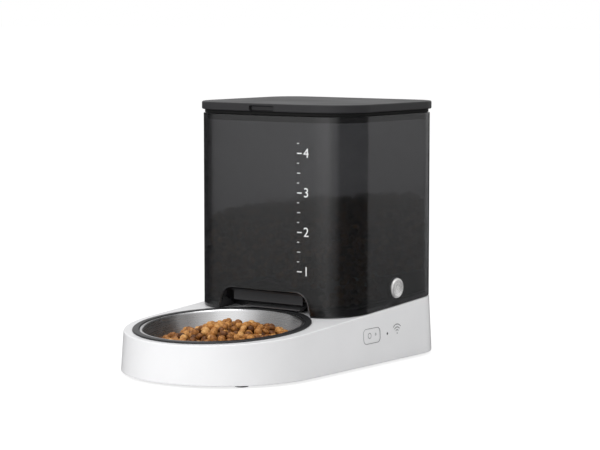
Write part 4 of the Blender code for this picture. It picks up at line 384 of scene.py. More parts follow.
def soften(bm, width, segments=3, sharper_than=40):
    """Rounds the edges that are sharper than an angle in degrees."""
    limit = math.radians(sharper_than)
    edges = [edge for edge in bm.edges if len(edge.link_faces) == 2 and edge.calc_face_angle(0.0) > limit]
    bmesh.ops.bevel(
        bm,
        geom=edges,
        offset=width,
        offset_type="OFFSET",
        affect="EDGES",
        segments=segments,
        profile=0.5,
        material=-1,
        clamp_overlap=True,
    )


def turn_profile(bm, edges, steps=None):
    """Spins a profile once round the z axis."""
    geom = list(edges) + list({vert for edge in edges for vert in edge.verts})
    bmesh.ops.spin(
        bm,
        geom=geom,
        cent=(0.0, 0.0, 0.0),
        axis=UP,
        angle=2 * math.pi,
        steps=steps or sizes().turn_steps,
        use_merge=True,
    )
    bmesh.ops.remove_doubles(bm, verts=bm.verts, dist=WELD)
    bmesh.ops.recalc_face_normals(bm, faces=bm.faces)


def unwrap_round(mesh, matrix):
    """A UV map with the angle round an axis in u and the distance along the surface in v."""
    inverse = matrix.inverted()
    layer = mesh.uv_layers.new(name="round")
    for face in mesh.polygons:
        first = None
        for index in face.loop_indices:
            point = inverse @ mesh.vertices[mesh.loops[index].vertex_index].co
            angle = math.atan2(point.y, point.x) / (2 * math.pi)
            if first is None:
                first = angle
            angle += round(first - angle)
            layer.data[index].uv = (angle, (math.hypot(point.x, point.y) - point.z) * 10)


def shade(mesh, angle=32):
    """Smooth shading up to an angle in degrees."""
    mesh.shade_smooth()
    mesh.set_sharp_from_angle(angle=math.radians(angle))


def place_piece(name, mesh, material, body, stands_for=()):
    """Links a finished mesh as a piece that rides on a body."""
    piece = bpy.data.objects.new(name, mesh)
    bpy.context.scene.collection.objects.link(piece)
    mesh.materials.clear()
    mesh.materials.append(material)
    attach(piece, body)
    if stands_for:
        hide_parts(*stands_for)
    return piece


def bm_to_mesh(bm, name, matrix=None, angle=32):
    """Writes a bmesh to a new shaded mesh."""
    if matrix is not None:
        bmesh.ops.transform(bm, matrix=matrix, verts=bm.verts)
        if matrix.determinant() < 0:
            bmesh.ops.reverse_faces(bm, faces=bm.faces)
    mesh = bpy.data.meshes.new(name)
    bm.to_mesh(mesh)
    bm.free()
    shade(mesh, angle)
    return mesh


def work_object(bm, name, matrix=None):
    """A helper object for a Boolean."""
    item = bpy.data.objects.new(name, bm_to_mesh(bm, name, matrix))
    bpy.context.scene.collection.objects.link(item)
    return item


def combine(item, others, operation="DIFFERENCE"):
    """Cuts or joins helper objects with an object, applies the result and removes the helpers."""
    for other in others:
        step = item.modifiers.new(operation.lower(), "BOOLEAN")
        step.operation = operation
        step.solver = "EXACT"
        step.object = other
    graph = bpy.context.evaluated_depsgraph_get()
    mesh = bpy.data.meshes.new_from_object(item.evaluated_get(graph), depsgraph=graph)
    old = item.data
    item.modifiers.clear()
    item.data = mesh
    bpy.data.meshes.remove(old)
    for other in others:
        spent = other.data
        bpy.data.objects.remove(other)
        bpy.data.meshes.remove(spent)
    return item


def finish_work(item, name, material, body, stands_for=(), angle=32, rounding=0.0, segments=2):
    """Turns a helper object into a finished piece, with its sharp edges rounded."""
    bm = bmesh.new()
    bm.from_mesh(item.data)
    spent = item.data
    bpy.data.objects.remove(item)
    bpy.data.meshes.remove(spent)
    bmesh.ops.remove_doubles(bm, verts=bm.verts, dist=CAD_WELD)
    bmesh.ops.dissolve_degenerate(bm, edges=bm.edges, dist=WELD)
    if rounding:
        soften(bm, rounding, segments, 50)
    mesh = bm_to_mesh(bm, name, angle=angle)
    return even_out(place_piece(name, mesh, material, body, stands_for))


def even_out(piece):
    """Makes the shading of large flat faces even up to their soft edges."""
    even = piece.modifiers.new("even", "WEIGHTED_NORMAL")
    even.keep_sharp = True
    return piece


def refine(node, material, body, rounding=0.0, angle=32, segments=2):
    """A merged, smooth-shaded copy of a CAD node, with soft edges where a width is given."""
    bm = bmesh.new()
    bm.from_mesh(frame["nodes"][node].data)
    bmesh.ops.remove_doubles(bm, verts=bm.verts, dist=CAD_WELD)
    bmesh.ops.dissolve_limit(
        bm, angle_limit=math.radians(0.4), verts=bm.verts, edges=bm.edges, use_dissolve_boundaries=False
    )
    if rounding:
        soften(bm, rounding, segments, 50)
    mesh = bm_to_mesh(bm, f"{node}_finish", angle=angle)
    return even_out(place_piece(f"{node}_finish", mesh, material, body, [node]))


def dress(node, material):
    """Gives a CAD node its material."""
    slots = frame["nodes"][node].material_slots
    if not slots:
        frame["nodes"][node].data.materials.append(material)
        return
    for item in slots:
        item.material = material


# Shader tools


def add_node(tree, kind, place=(0, 0), **values):
    """A shader node with some of its settings."""
    node = tree.nodes.new(kind)
    node.location = place
    for key, value in values.items():
        setattr(node, key, value)
    return node


def start_group(name, inputs, outputs):
    """A shader node group with named sockets."""
    group = bpy.data.node_groups.new(name, "ShaderNodeTree")
    for label, kind, value in inputs:
        socket = group.interface.new_socket(name=label, in_out="INPUT", socket_type=kind)
        if value is not None:
            socket.default_value = value
    for label, kind in outputs:
        group.interface.new_socket(name=label, in_out="OUTPUT", socket_type=kind)
    enter = add_node(group, "NodeGroupInput", (-900, 0))
    leave = add_node(group, "NodeGroupOutput", (600, 0))
    return group, enter, leave


def spread_node(tree, source, low, high, place, start=0.3, end=0.7):
    """Maps a noise value to a narrow band."""
    node = add_node(tree, "ShaderNodeMapRange", place)
    node.inputs["From Min"].default_value = start
    node.inputs["From Max"].default_value = end
    node.inputs["To Min"].default_value = low
    node.inputs["To Max"].default_value = high
    tree.links.new(source, node.inputs["Value"])
    return node.outputs["Result"]


def calculate(tree, operation, first, second, place=(0, 0), use_clamp=False):
    """Output of a Math node, whose inputs are each a socket or a number."""
    node = add_node(tree, "ShaderNodeMath", place, operation=operation, use_clamp=use_clamp)
    for socket, value in zip(node.inputs, (first, second)):
        if isinstance(value, bpy.types.NodeSocket):
            tree.links.new(value, socket)
        else:
            socket.default_value = value
    return node.outputs[0]


def mix_shaders(tree, factor, first, second, place):
    """Output of a Mix Shader node."""
    node = add_node(tree, "ShaderNodeMixShader", place)
    for socket, source in zip(node.inputs, (factor, first, second)):
        tree.links.new(source, socket)
    return node.outputs["Shader"]


def shade_colour(tree, colour, factor, place):
    """Multiplies a colour by a value."""
    node = add_node(tree, "ShaderNodeVectorMath", place, operation="SCALE")
    tree.links.new(colour, node.inputs[0])
    tree.links.new(factor, node.inputs["Scale"])
    return node.outputs["Vector"]


def add_values(tree, first, second, place):
    """Adds two values, kept from 0 to 1."""
    return calculate(tree, "ADD", first, second, place, use_clamp=True)


def moulded_group():
    """Moulded plastic: a fine grain, soft cloudy gloss and a slight unevenness of colour."""
    known = bpy.data.node_groups.get("Moulded Plastic")
    if known:
        return known
    group, enter, leave = start_group(
        "Moulded Plastic",
        [
            ("Vector", "NodeSocketVector", None),
            ("Colour", "NodeSocketColor", (0.5, 0.5, 0.5, 1.0)),
            ("Roughness", "NodeSocketFloat", 0.4),
            ("Grain Scale", "NodeSocketFloat", 2200.0),
            ("Cloud", "NodeSocketFloat", 0.05),
        ],
        [("Colour", "NodeSocketColor"), ("Roughness", "NodeSocketFloat"), ("Height", "NodeSocketFloat")],
    )
    grain = add_node(group, "ShaderNodeTexNoise", (-600, 200))
    grain.inputs["Detail"].default_value = 3.0
    group.links.new(enter.outputs["Vector"], grain.inputs["Vector"])
    group.links.new(enter.outputs["Grain Scale"], grain.inputs["Scale"])
    cloud = add_node(group, "ShaderNodeTexNoise", (-600, -100))
    cloud.inputs["Scale"].default_value = 22.0
    cloud.inputs["Detail"].default_value = 5.0
    group.links.new(enter.outputs["Vector"], cloud.inputs["Vector"])
    tone = spread_node(group, cloud.outputs["Fac"], 0.975, 1.015, (-300, 100))
    colour = shade_colour(group, enter.outputs["Colour"], tone, (-50, 100))
    even = spread_node(group, cloud.outputs["Fac"], -1.0, 1.0, (-300, -150))
    amount = calculate(group, "MULTIPLY", even, enter.outputs["Cloud"], (-100, -150))
    rough = add_values(group, enter.outputs["Roughness"], amount, (100, -150))
    group.links.new(colour, leave.inputs["Colour"])
    group.links.new(rough, leave.inputs["Roughness"])
    group.links.new(grain.outputs["Fac"], leave.inputs["Height"])
    return group


def brushed_group():
    """Brushed metal: lines along one direction that change gloss, colour and height."""
    known = bpy.data.node_groups.get("Brushed Metal")
    if known:
        return known
    group, enter, leave = start_group(
        "Brushed Metal",
        [
            ("Along", "NodeSocketFloat", 0.0),
            ("Across", "NodeSocketFloat", 0.0),
            ("Colour", "NodeSocketColor", (0.6, 0.6, 0.6, 1.0)),
            ("Roughness", "NodeSocketFloat", 0.25),
            ("Line Scale", "NodeSocketFloat", 2600.0),
            ("Spread", "NodeSocketFloat", 0.08),
        ],
        [("Colour", "NodeSocketColor"), ("Roughness", "NodeSocketFloat"), ("Height", "NodeSocketFloat")],
    )
    scaled = calculate(group, "MULTIPLY", enter.outputs["Across"], enter.outputs["Line Scale"], (-700, 100))
    place = add_node(group, "ShaderNodeCombineXYZ", (-550, 0))
    group.links.new(enter.outputs["Along"], place.inputs["X"])
    group.links.new(scaled, place.inputs["Y"])
    lines = add_node(group, "ShaderNodeTexNoise", (-400, 0))
    lines.inputs["Scale"].default_value = 1.0
    lines.inputs["Detail"].default_value = 5.0
    lines.inputs["Roughness"].default_value = 0.65
    group.links.new(place.outputs["Vector"], lines.inputs["Vector"])
    tone = spread_node(group, lines.outputs["Fac"], 0.95, 1.03, (-150, 150))
    colour = shade_colour(group, enter.outputs["Colour"], tone, (50, 150))
    even = spread_node(group, lines.outputs["Fac"], -1.0, 1.0, (-150, -100))
    amount = calculate(group, "MULTIPLY", even, enter.outputs["Spread"], (50, -100))
    rough = add_values(group, enter.outputs["Roughness"], amount, (200, -100))
    group.links.new(colour, leave.inputs["Colour"])
    group.links.new(rough, leave.inputs["Roughness"])
    group.links.new(lines.outputs["Fac"], leave.inputs["Height"])
    return group


def new_material(name):
    """A material with its shader and a Texture Coordinate node."""
    material = bpy.data.materials.new(name)
    material.use_nodes = True
    tree = material.node_tree
    shader = tree.nodes["Principled BSDF"]
    place = add_node(tree, "ShaderNodeTexCoord", (-1100, 0))
    return material, tree, shader, place.outputs["Object"]


def use_group(tree, group, place=(-500, 0), **values):
    """Puts a node group in a material and sets its plain inputs."""
    node = add_node(tree, "ShaderNodeGroup", place)
    node.node_tree = group
    for key, value in values.items():
        node.inputs[key.replace("_", " ")].default_value = value
    return node


def moulded_surface(tree, place, colour, roughness, grain=2200.0, cloud=0.05):
    """The moulded plastic group, on the object's coordinates."""
    values = {"Colour": (*colour, 1.0), "Roughness": roughness, "Grain_Scale": grain, "Cloud": cloud}
    surface = use_group(tree, moulded_group(), **values)
    tree.links.new(place, surface.inputs["Vector"])
    return surface


def paint(tree, surface, shader):
    """Links a group's colour and roughness to the shader."""
    tree.links.new(surface.outputs["Colour"], shader.inputs["Base Color"])
    tree.links.new(surface.outputs["Roughness"], shader.inputs["Roughness"])


def bump(tree, shader, height, strength, distance):
    """Links a height to the shader's normal."""
    node = add_node(tree, "ShaderNodeBump", (-200, -300))
    node.inputs["Strength"].default_value = strength
    node.inputs["Distance"].default_value = distance
    tree.links.new(height, node.inputs["Height"])
    tree.links.new(node.outputs["Normal"], shader.inputs["Normal"])


def plastic(name, colour, roughness, grain=2200.0, depth=0.00002, cloud=0.05, coat=0.0, strength=0.35, shine=0.5):
    """A moulded plastic."""
    known = bpy.data.materials.get(name)
    if known:
        return known
    material, tree, shader, place = new_material(name)
    surface = moulded_surface(tree, place, colour, roughness, grain, cloud)
    paint(tree, surface, shader)
    shader.inputs["Coat Weight"].default_value = coat
    shader.inputs["Specular IOR Level"].default_value = shine
    bump(tree, shader, surface.outputs["Height"], strength, depth)
    return material


def spun_metal(name, colour, roughness, matrix, spread, stretch, lines=2600.0, along=1.2, metallic=1.0):
    """Metal brushed in circles round an axis. The piece has a UV map round that axis."""
    known = bpy.data.materials.get(name)
    if known:
        return known
    material, tree, shader, place = new_material(name)
    inverse = matrix.inverted()
    turned = add_node(tree, "ShaderNodeMapping", (-950, 0), vector_type="POINT")
    turned.inputs["Location"].default_value = inverse.to_translation()
    turned.inputs["Rotation"].default_value = inverse.to_euler()
    tree.links.new(place, turned.inputs["Vector"])
    parts = add_node(tree, "ShaderNodeSeparateXYZ", (-800, 0))
    tree.links.new(turned.outputs["Vector"], parts.inputs["Vector"])
    flat = add_node(tree, "ShaderNodeCombineXYZ", (-700, 150))
    tree.links.new(parts.outputs["X"], flat.inputs["X"])
    tree.links.new(parts.outputs["Y"], flat.inputs["Y"])
    radius = add_node(tree, "ShaderNodeVectorMath", (-600, 150), operation="LENGTH")
    tree.links.new(flat.outputs["Vector"], radius.inputs[0])
    across = calculate(tree, "SUBTRACT", radius.outputs["Value"], parts.outputs["Z"], (-450, 150))
    angle = calculate(tree, "ARCTAN2", parts.outputs["Y"], parts.outputs["X"], (-600, -50))
    arc = calculate(tree, "MULTIPLY", angle, along, (-450, -50))
    surface = use_group(
        tree,
        brushed_group(),
        (-300, 0),
        Colour=(*colour, 1.0),
        Roughness=roughness,
        Line_Scale=lines,
        Spread=spread,
    )
    tree.links.new(arc, surface.inputs["Along"])
    tree.links.new(across, surface.inputs["Across"])
    paint(tree, surface, shader)
    shader.inputs["Metallic"].default_value = metallic
    shader.inputs["Anisotropic"].default_value = stretch
    shader.inputs["Anisotropic Rotation"].default_value = 0.25
    line = add_node(tree, "ShaderNodeTangent", (-300, -400), direction_type="UV_MAP", uv_map="round")
    tree.links.new(line.outputs["Tangent"], shader.inputs["Tangent"])
    bump(tree, shader, surface.outputs["Height"], 0.05, 0.00002)
    return material


def housing_white():
    """White plastic of the base."""
    return plastic("white housing", colours().housing, 0.30, grain=1500.0, cloud=0.03, coat=0.15, strength=0.12)


def dark_plastic():
    """Dark plastic of the tank's floor and inner housings."""
    return plastic("dark plastic", colours().dark, 0.36, grain=1800.0)


def gloss_plastic():
    """Dark glossy plastic of the hood and flap."""
    return plastic("gloss dark plastic", (0.016, 0.016, 0.018), 0.16, cloud=0.02, coat=0.15, strength=0.08, shine=0.35)


def lid_plastic():
    """Satin dark plastic of the lid."""
    return plastic("lid plastic", colours().lid, 0.42, grain=1600.0, strength=0.2, shine=0.16)


def ring_plastic():
    """Dark plastic of the bowl's ring."""
    return plastic("ring plastic", (0.024, 0.024, 0.026), 0.34, strength=0.12, shine=0.3)


def pale_plastic():
    """Pale grey plastic of the desiccant box."""
    return plastic("pale plastic", (0.60, 0.61, 0.62), 0.42)


def mark_paint():
    """Grey print of the marks on the base."""
    return plastic("mark print", (0.20, 0.20, 0.21), 0.5)


def scale_paint():
    """White print of the fill scale."""
    return plastic("scale print", (0.86, 0.86, 0.86), 0.55)


def silicone():
    """Soft silicone of the paddle wheel."""
    return plastic("soft silicone", (0.33, 0.34, 0.35), 0.58, grain=900.0)


def rubber():
    """Rubber of the feet and the lid seal."""
    return plastic("rubber", (0.010, 0.010, 0.010), 0.72, grain=2600.0, depth=0.00006, shine=0.25)


def gear_plastic():
    """Natural acetal of the gears."""
    return plastic("gear plastic", (0.78, 0.77, 0.72), 0.38)


def plain_metal(name, colour, roughness):
    """A metal with an even, finely ground surface."""
    known = bpy.data.materials.get(name)
    if known:
        return known
    material, tree, shader, place = new_material(name)
    surface = moulded_surface(tree, place, colour, roughness, 3000.0)
    paint(tree, surface, shader)
    shader.inputs["Metallic"].default_value = 1.0
    bump(tree, shader, surface.outputs["Height"], 0.2, 0.00002)
    return material


def smoke_clear():
    """Smoke-tinted clear plastic. The tint deepens where the wall is seen at a slant."""
    known = bpy.data.materials.get("smoke clear")
    if known:
        return known
    material, tree, shader, place = new_material("smoke clear")
    face = add_node(tree, "ShaderNodeLayerWeight", (-900, 200))
    face.inputs["Blend"].default_value = 0.5
    slant = add_node(tree, "ShaderNodeMapRange", (-700, 200), interpolation_type="SMOOTHSTEP")
    slant.inputs["From Min"].default_value = 0.30
    slant.inputs["From Max"].default_value = 0.64
    tree.links.new(face.outputs["Facing"], slant.inputs["Value"])
    surface = moulded_surface(tree, place, colours().smoke, 0.13, 900.0, 0.02)
    deepen = add_node(tree, "ShaderNodeMix", (-450, 100), data_type="RGBA")
    deepen.inputs["B"].default_value = (0.006, 0.006, 0.007, 1.0)
    tree.links.new(slant.outputs["Result"], deepen.inputs["Factor"])
    tree.links.new(surface.outputs["Colour"], deepen.inputs["A"])
    tree.links.new(deepen.outputs["Result"], shader.inputs["Base Color"])
    tree.links.new(surface.outputs["Roughness"], shader.inputs["Roughness"])
    shader.inputs["Transmission Weight"].default_value = 1.0
    shader.inputs["Specular IOR Level"].default_value = 0.38
    shader.inputs["IOR"].default_value = 1.49
    let_through = add_node(tree, "ShaderNodeBsdfTransparent", (100, -200))
    let_through.inputs["Color"].default_value = (0.42, 0.42, 0.43, 1.0)
    path = add_node(tree, "ShaderNodeLightPath", (-100, 300))
    shadow = path.outputs["Is Shadow Ray"]
    blend = mix_shaders(tree, shadow, shader.outputs["BSDF"], let_through.outputs["BSDF"], (300, 0))
    tree.links.new(blend, tree.nodes["Material Output"].inputs["Surface"])
    return material


def food_finish(name, painted_shade_factor=1.0):
    """Baked dry food: each pellet has its own tone, with a rough, uneven surface. The tone attribute also carries
    painted shade, and the factor after the name darkens the whole colour as painted shade.
    """
    known = bpy.data.materials.get(name)
    if known:
        return known
    material, tree, shader, place = new_material(name)
    own = add_node(tree, "ShaderNodeAttribute", (-900, 200), attribute_name="tone")
    ramp = add_node(tree, "ShaderNodeValToRGB", (-600, 200))
    tones = (
        (0.0, (0.070, 0.025, 0.008)),
        (0.25, (0.180, 0.066, 0.017)),
        (0.55, (0.390, 0.160, 0.038)),
        (0.80, (0.590, 0.280, 0.080)),
        (1.0, (0.700, 0.390, 0.140)),
    )
    while len(ramp.color_ramp.elements) < len(tones):
        ramp.color_ramp.elements.new(0.5)
    # Each ramp colour is scaled by the factor, which is painted shade where it is below 1
    for element, (position, colour) in zip(ramp.color_ramp.elements, tones):
        element.position = position
        element.color = (*(c * painted_shade_factor for c in colour), 1.0)
    patch = add_node(tree, "ShaderNodeTexNoise", (-900, -50))
    patch.inputs["Scale"].default_value = 420.0
    patch.inputs["Detail"].default_value = 5.0
    tree.links.new(place, patch.inputs["Vector"])
    shift = spread_node(tree, patch.outputs["Fac"], -0.22, 0.22, (-750, 0))
    tone = add_values(tree, own.outputs["Fac"], shift, (-700, 200))
    tree.links.new(tone, ramp.inputs["Fac"])
    tree.links.new(ramp.outputs["Color"], shader.inputs["Base Color"])
    rough = spread_node(tree, patch.outputs["Fac"], 0.52, 0.36, (-450, -100))
    tree.links.new(rough, shader.inputs["Roughness"])
    shader.inputs["Specular IOR Level"].default_value = 0.3
    bump(tree, shader, patch.outputs["Fac"], 0.8, 0.0005)
    return material


# Food


def on_line(stops, share):
    """Value at a place on a line of stops, each a place from 0 to 1 and a value."""
    for (start, low), (end, high) in zip(stops, stops[1:]):
        if share <= end:
            return low + (high - low) * max(0.0, share - start) / (end - start)
    return stops[-1][1]


def pellet_meshes(count, radius, rng, segments, rings):
    """A few lumpy pellets."""
    made = []
    for _ in range(count):
        bm = bmesh.new()
        bmesh.ops.create_uvsphere(bm, u_segments=segments, v_segments=rings, radius=radius)
        flat = rng.uniform(0.66, 0.86)
        wide = rng.uniform(0.88, 1.0)
        bmesh.ops.scale(bm, vec=(1.0, wide, flat), verts=bm.verts)
        shift = Vector([rng.uniform(0, 50) for _ in range(3)])
        for vert in bm.verts:
            lump = noise.noise(vert.co / radius * 1.1 + shift) * 0.16
            vert.co *= 1.0 + lump
        mesh = bpy.data.meshes.new("pellet")
        bm.to_mesh(mesh)
        bm.free()
        made.append(mesh)
    return made


def heap_places(rng, count, radius, pick, floor, top, allowed):
    """Drops balls at random places. Each rolls to the lowest nearby rest, and stays if it is under the top."""
    cell = 2 * radius
    grid = {}
    places = []
    reach = 2 * radius * 0.86
    stride = radius * 0.45
    ways = [(math.cos(k * math.pi / 3) * stride, math.sin(k * math.pi / 3) * stride) for k in range(6)]

    def rest(x, y):
        z = floor(x, y) + radius * 0.8
        ix, iy = math.floor(x / cell), math.floor(y / cell)
        for a in (-1, 0, 1):
            for b in (-1, 0, 1):
                for px, py, pz in grid.get((ix + a, iy + b), ()):
                    gap = (px - x) ** 2 + (py - y) ** 2
                    if gap < reach * reach:
                        z = max(z, pz + math.sqrt(reach * reach - gap) * 0.86)
        return z

    misses = 0
    while len(places) < count and misses < 250:
        x, y = pick(rng)
        z = rest(x, y)
        for _ in range(14):
            near = [(rest(x + dx, y + dy), x + dx, y + dy) for dx, dy in ways if allowed(x + dx, y + dy)]
            best = min(near, default=(z, x, y))
            if best[0] >= z:
                break
            z, x, y = best
        if z + radius * 0.72 > top(x, y):
            misses += 1
            continue
        misses = 0
        grid.setdefault((math.floor(x / cell), math.floor(y / cell)), []).append((x, y, z))
        places.append((x, y, z))
    return places


def food_heap(name, places, pellets, rng, material, body, depth, matrix=None):
    """One mesh of many pellets, each turned and toned at random, and darkened by the amount that depth gives for its
    place, which is painted shade.
    """
    bm = bmesh.new()
    tones = []
    for x, y, z in places:
        shape = rng.choice(pellets).copy()
        lean = Matrix.Rotation(rng.uniform(-0.9, 0.9), 4, "X") @ Matrix.Rotation(rng.uniform(-0.9, 0.9), 4, "Y")
        turn = lean @ Matrix.Rotation(rng.uniform(0, 2 * math.pi), 4, "Z")
        size = rng.uniform(0.90, 1.06)
        shape.transform(Matrix.Translation((x, y, z)) @ turn @ Matrix.Scale(size, 4))
        bm.from_mesh(shape)
        # Random tone less the painted shade that depth gives for the pellet's place
        own = rng.gauss(0.60, 0.24) - min(0.42, max(0.0, depth(x, y, z)))
        tones += [min(1.0, max(0.0, own))] * len(shape.vertices)
        bpy.data.meshes.remove(shape)
    mesh = bm_to_mesh(bm, name, matrix, angle=180)
    layer = mesh.attributes.new("tone", "FLOAT", "POINT")
    layer.data.foreach_set("value", tones)
    return place_piece(name, mesh, material, body)


# Operators


class FEEDER_OT_stage(bpy.types.Operator):
    """Pale floor, white surroundings, soft lights and the camera"""

    bl_idname = "feeder.add_stage"
    bl_label = "Stage"

    def execute(self, context):
        scene = context.scene
        scene.view_settings.view_transform = "Standard"
        bm = bmesh.new()
        bmesh.ops.create_grid(bm, x_segments=1, y_segments=1, size=30.0)
        floor = bpy.data.objects.new("floor", bm_to_mesh(bm, "floor"))
        scene.collection.objects.link(floor)
        floor.data.materials.append(self.floor_material())
        self.surroundings(scene)
        key = self.lamp("key_light", *KEY_LIGHT)
        key.visible_glossy = False
        self.lamp("top_light", *TOP_LIGHT)
        camera = bpy.data.cameras.new("camera")
        camera.lens = CAMERA_LENS
        camera.sensor_width = CAMERA_SENSOR
        scene.camera = self.aimed("camera", camera, CAMERA_PLACE, CAMERA_AIM)
        return {"FINISHED"}

    def aimed(self, name, data, place, target):
        """An object at a place, turned to look at a target."""
        item = bpy.data.objects.new(name, data)
        item.location = place
        aim = Vector(target) - item.location
        item.rotation_euler = aim.to_track_quat("-Z", "Y").to_euler()
        bpy.context.scene.collection.objects.link(item)
        return item

    def lamp(self, name, place, size, energy):
        """A soft square lamp aimed at the feeder."""
        light = bpy.data.lights.new(name, "AREA")
        light.size = size
        light.energy = energy
        return self.aimed(name, light, place, LAMP_AIM)

    def floor_material(self):
        """Pale floor that reads white to the camera, keeps the shadow, and is clear from below."""
        material, tree, shader, place = new_material("pale floor")
        surface = moulded_surface(tree, place, (0.80, 0.80, 0.80), 0.6, 40.0)
        paint(tree, surface, shader)
        shader.inputs["Specular IOR Level"].default_value = 0.0
        path = add_node(tree, "ShaderNodeLightPath", (-600, 500))
        rays = path.outputs
        glow = add_node(tree, "ShaderNodeEmission", (0, 300))
        glow.inputs["Color"].default_value = (1.0, 1.0, 1.0, 1.0)
        glow.inputs["Strength"].default_value = 1.42
        seen = calculate(tree, "MAXIMUM", rays["Is Camera Ray"], rays["Is Transmission Ray"], (-200, 500))
        lit = calculate(tree, "MULTIPLY", seen, 0.55, (0, 600))
        blend = mix_shaders(tree, lit, shader.outputs["BSDF"], glow.outputs["Emission"], (300, 100))
        clear = add_node(tree, "ShaderNodeBsdfTransparent", (300, -100))
        side = add_node(tree, "ShaderNodeNewGeometry", (-200, 800))
        unseen = calculate(tree, "MAXIMUM", rays["Is Glossy Ray"], side.outputs["Backfacing"], (0, 800))
        whole = mix_shaders(tree, unseen, blend, clear.outputs["BSDF"], (500, 0))
        tree.links.new(whole, tree.nodes["Material Output"].inputs["Surface"])
        return material

    def surroundings(self, scene):
        """White to the camera and through glass, a soft studio gradient in reflections."""
        world = bpy.data.worlds.new("studio")
        world.use_nodes = True
        scene.world = world
        tree = world.node_tree
        tree.nodes.clear()
        place = add_node(tree, "ShaderNodeTexCoord", (-1200, 0))
        parts = add_node(tree, "ShaderNodeSeparateXYZ", (-1000, 0))
        tree.links.new(place.outputs["Generated"], parts.inputs["Vector"])
        height = parts.outputs["Z"]
        forward = calculate(tree, "MULTIPLY", parts.outputs["Y"], -1.0, (-850, -200))
        angle = calculate(tree, "ARCTAN2", parts.outputs["X"], forward, (-850, 0))
        share = spread_node(tree, angle, 0.0, 1.0, (-650, 0), -math.pi, math.pi)
        low_ring = self.ring_of_light(tree, share, LOW_RING, (-450, 100))
        high_ring = self.ring_of_light(tree, share, HIGH_RING, (-450, -150))
        depth = spread_node(tree, height, 0.36, 1.0, (-650, -600), -0.135, -0.045)
        faded = shade_colour(tree, low_ring, depth, (-200, 100))
        level = spread_node(tree, height, 0.0, 1.0, (-650, -850), -0.02, 0.03)
        sides = add_node(tree, "ShaderNodeMix", (-50, 50), data_type="RGBA")
        tree.links.new(level, sides.inputs["Factor"])
        tree.links.new(faded, sides.inputs["A"])
        tree.links.new(high_ring, sides.inputs["B"])
        above = spread_node(tree, height, 0.0, 1.0, (-650, -350), 0.58, 0.85)
        dome = add_node(tree, "ShaderNodeMix", (100, 0), data_type="RGBA")
        dome.inputs["B"].default_value = (1.0, 1.0, 1.0, 1.0)
        tree.links.new(above, dome.inputs["Factor"])
        tree.links.new(sides.outputs["Result"], dome.inputs["A"])
        mirror = add_node(tree, "ShaderNodeBackground", (50, 0))
        tree.links.new(dome.outputs["Result"], mirror.inputs["Color"])
        soft = self.even_sky(tree, 0.65, (50, -200))
        white = self.even_sky(tree, 1.0, (50, 200))
        rays = add_node(tree, "ShaderNodeLightPath", (-200, 400)).outputs
        lit = mix_shaders(tree, rays["Is Glossy Ray"], soft, mirror.outputs["Background"], (300, -100))
        seen = calculate(tree, "MAXIMUM", rays["Is Camera Ray"], rays["Is Transmission Ray"], (50, 450))
        whole = mix_shaders(tree, seen, lit, white, (500, 0))
        leave = add_node(tree, "ShaderNodeOutputWorld", (700, 0))
        tree.links.new(whole, leave.inputs["Surface"])

    def even_sky(self, tree, strength, place):
        """A white background of one strength."""
        node = add_node(tree, "ShaderNodeBackground", place)
        node.inputs["Color"].default_value = (1.0, 1.0, 1.0, 1.0)
        node.inputs["Strength"].default_value = strength
        return node.outputs["Background"]

    def ring_of_light(self, tree, share, stops, place):
        """Brightness round the horizon, from stops of place and value."""
        ramp = add_node(tree, "ShaderNodeValToRGB", place)
        ramp.color_ramp.interpolation = "EASE"
        while len(ramp.color_ramp.elements) < len(stops):
            ramp.color_ramp.elements.new(0.5)
        for element, (position, value) in zip(ramp.color_ramp.elements, stops):
            element.position = position
            element.color = (value, value, value, 1.0)
        tree.links.new(share, ramp.inputs["Fac"])
        return ramp.outputs["Color"]


class FEEDER_OT_housing(bpy.types.Operator):
    """White base housing, its bottom plate and the battery hatch"""

    bl_idname = "feeder.add_housing"
    bl_label = "Base housing"

    def execute(self, context):
        white = housing_white()
        refine("base_shell", white, "base")
        refine("base_bottom", white, "base", 0.0003)
        refine("battery_hatch", white, "hatch", 0.0002)
        refine("power_inlet", dark_plastic(), "base", 0.0002)
        feet = rubber()
        steel = plain_metal("screw steel", (0.45, 0.45, 0.46), 0.30)
        for place in ("front_left", "front_right", "rear_left", "rear_right"):
            refine(f"foot_{place}", feet, "base", 0.0004)
            refine(f"base_screw_{place}", steel, "base")
        return {"FINISHED"}


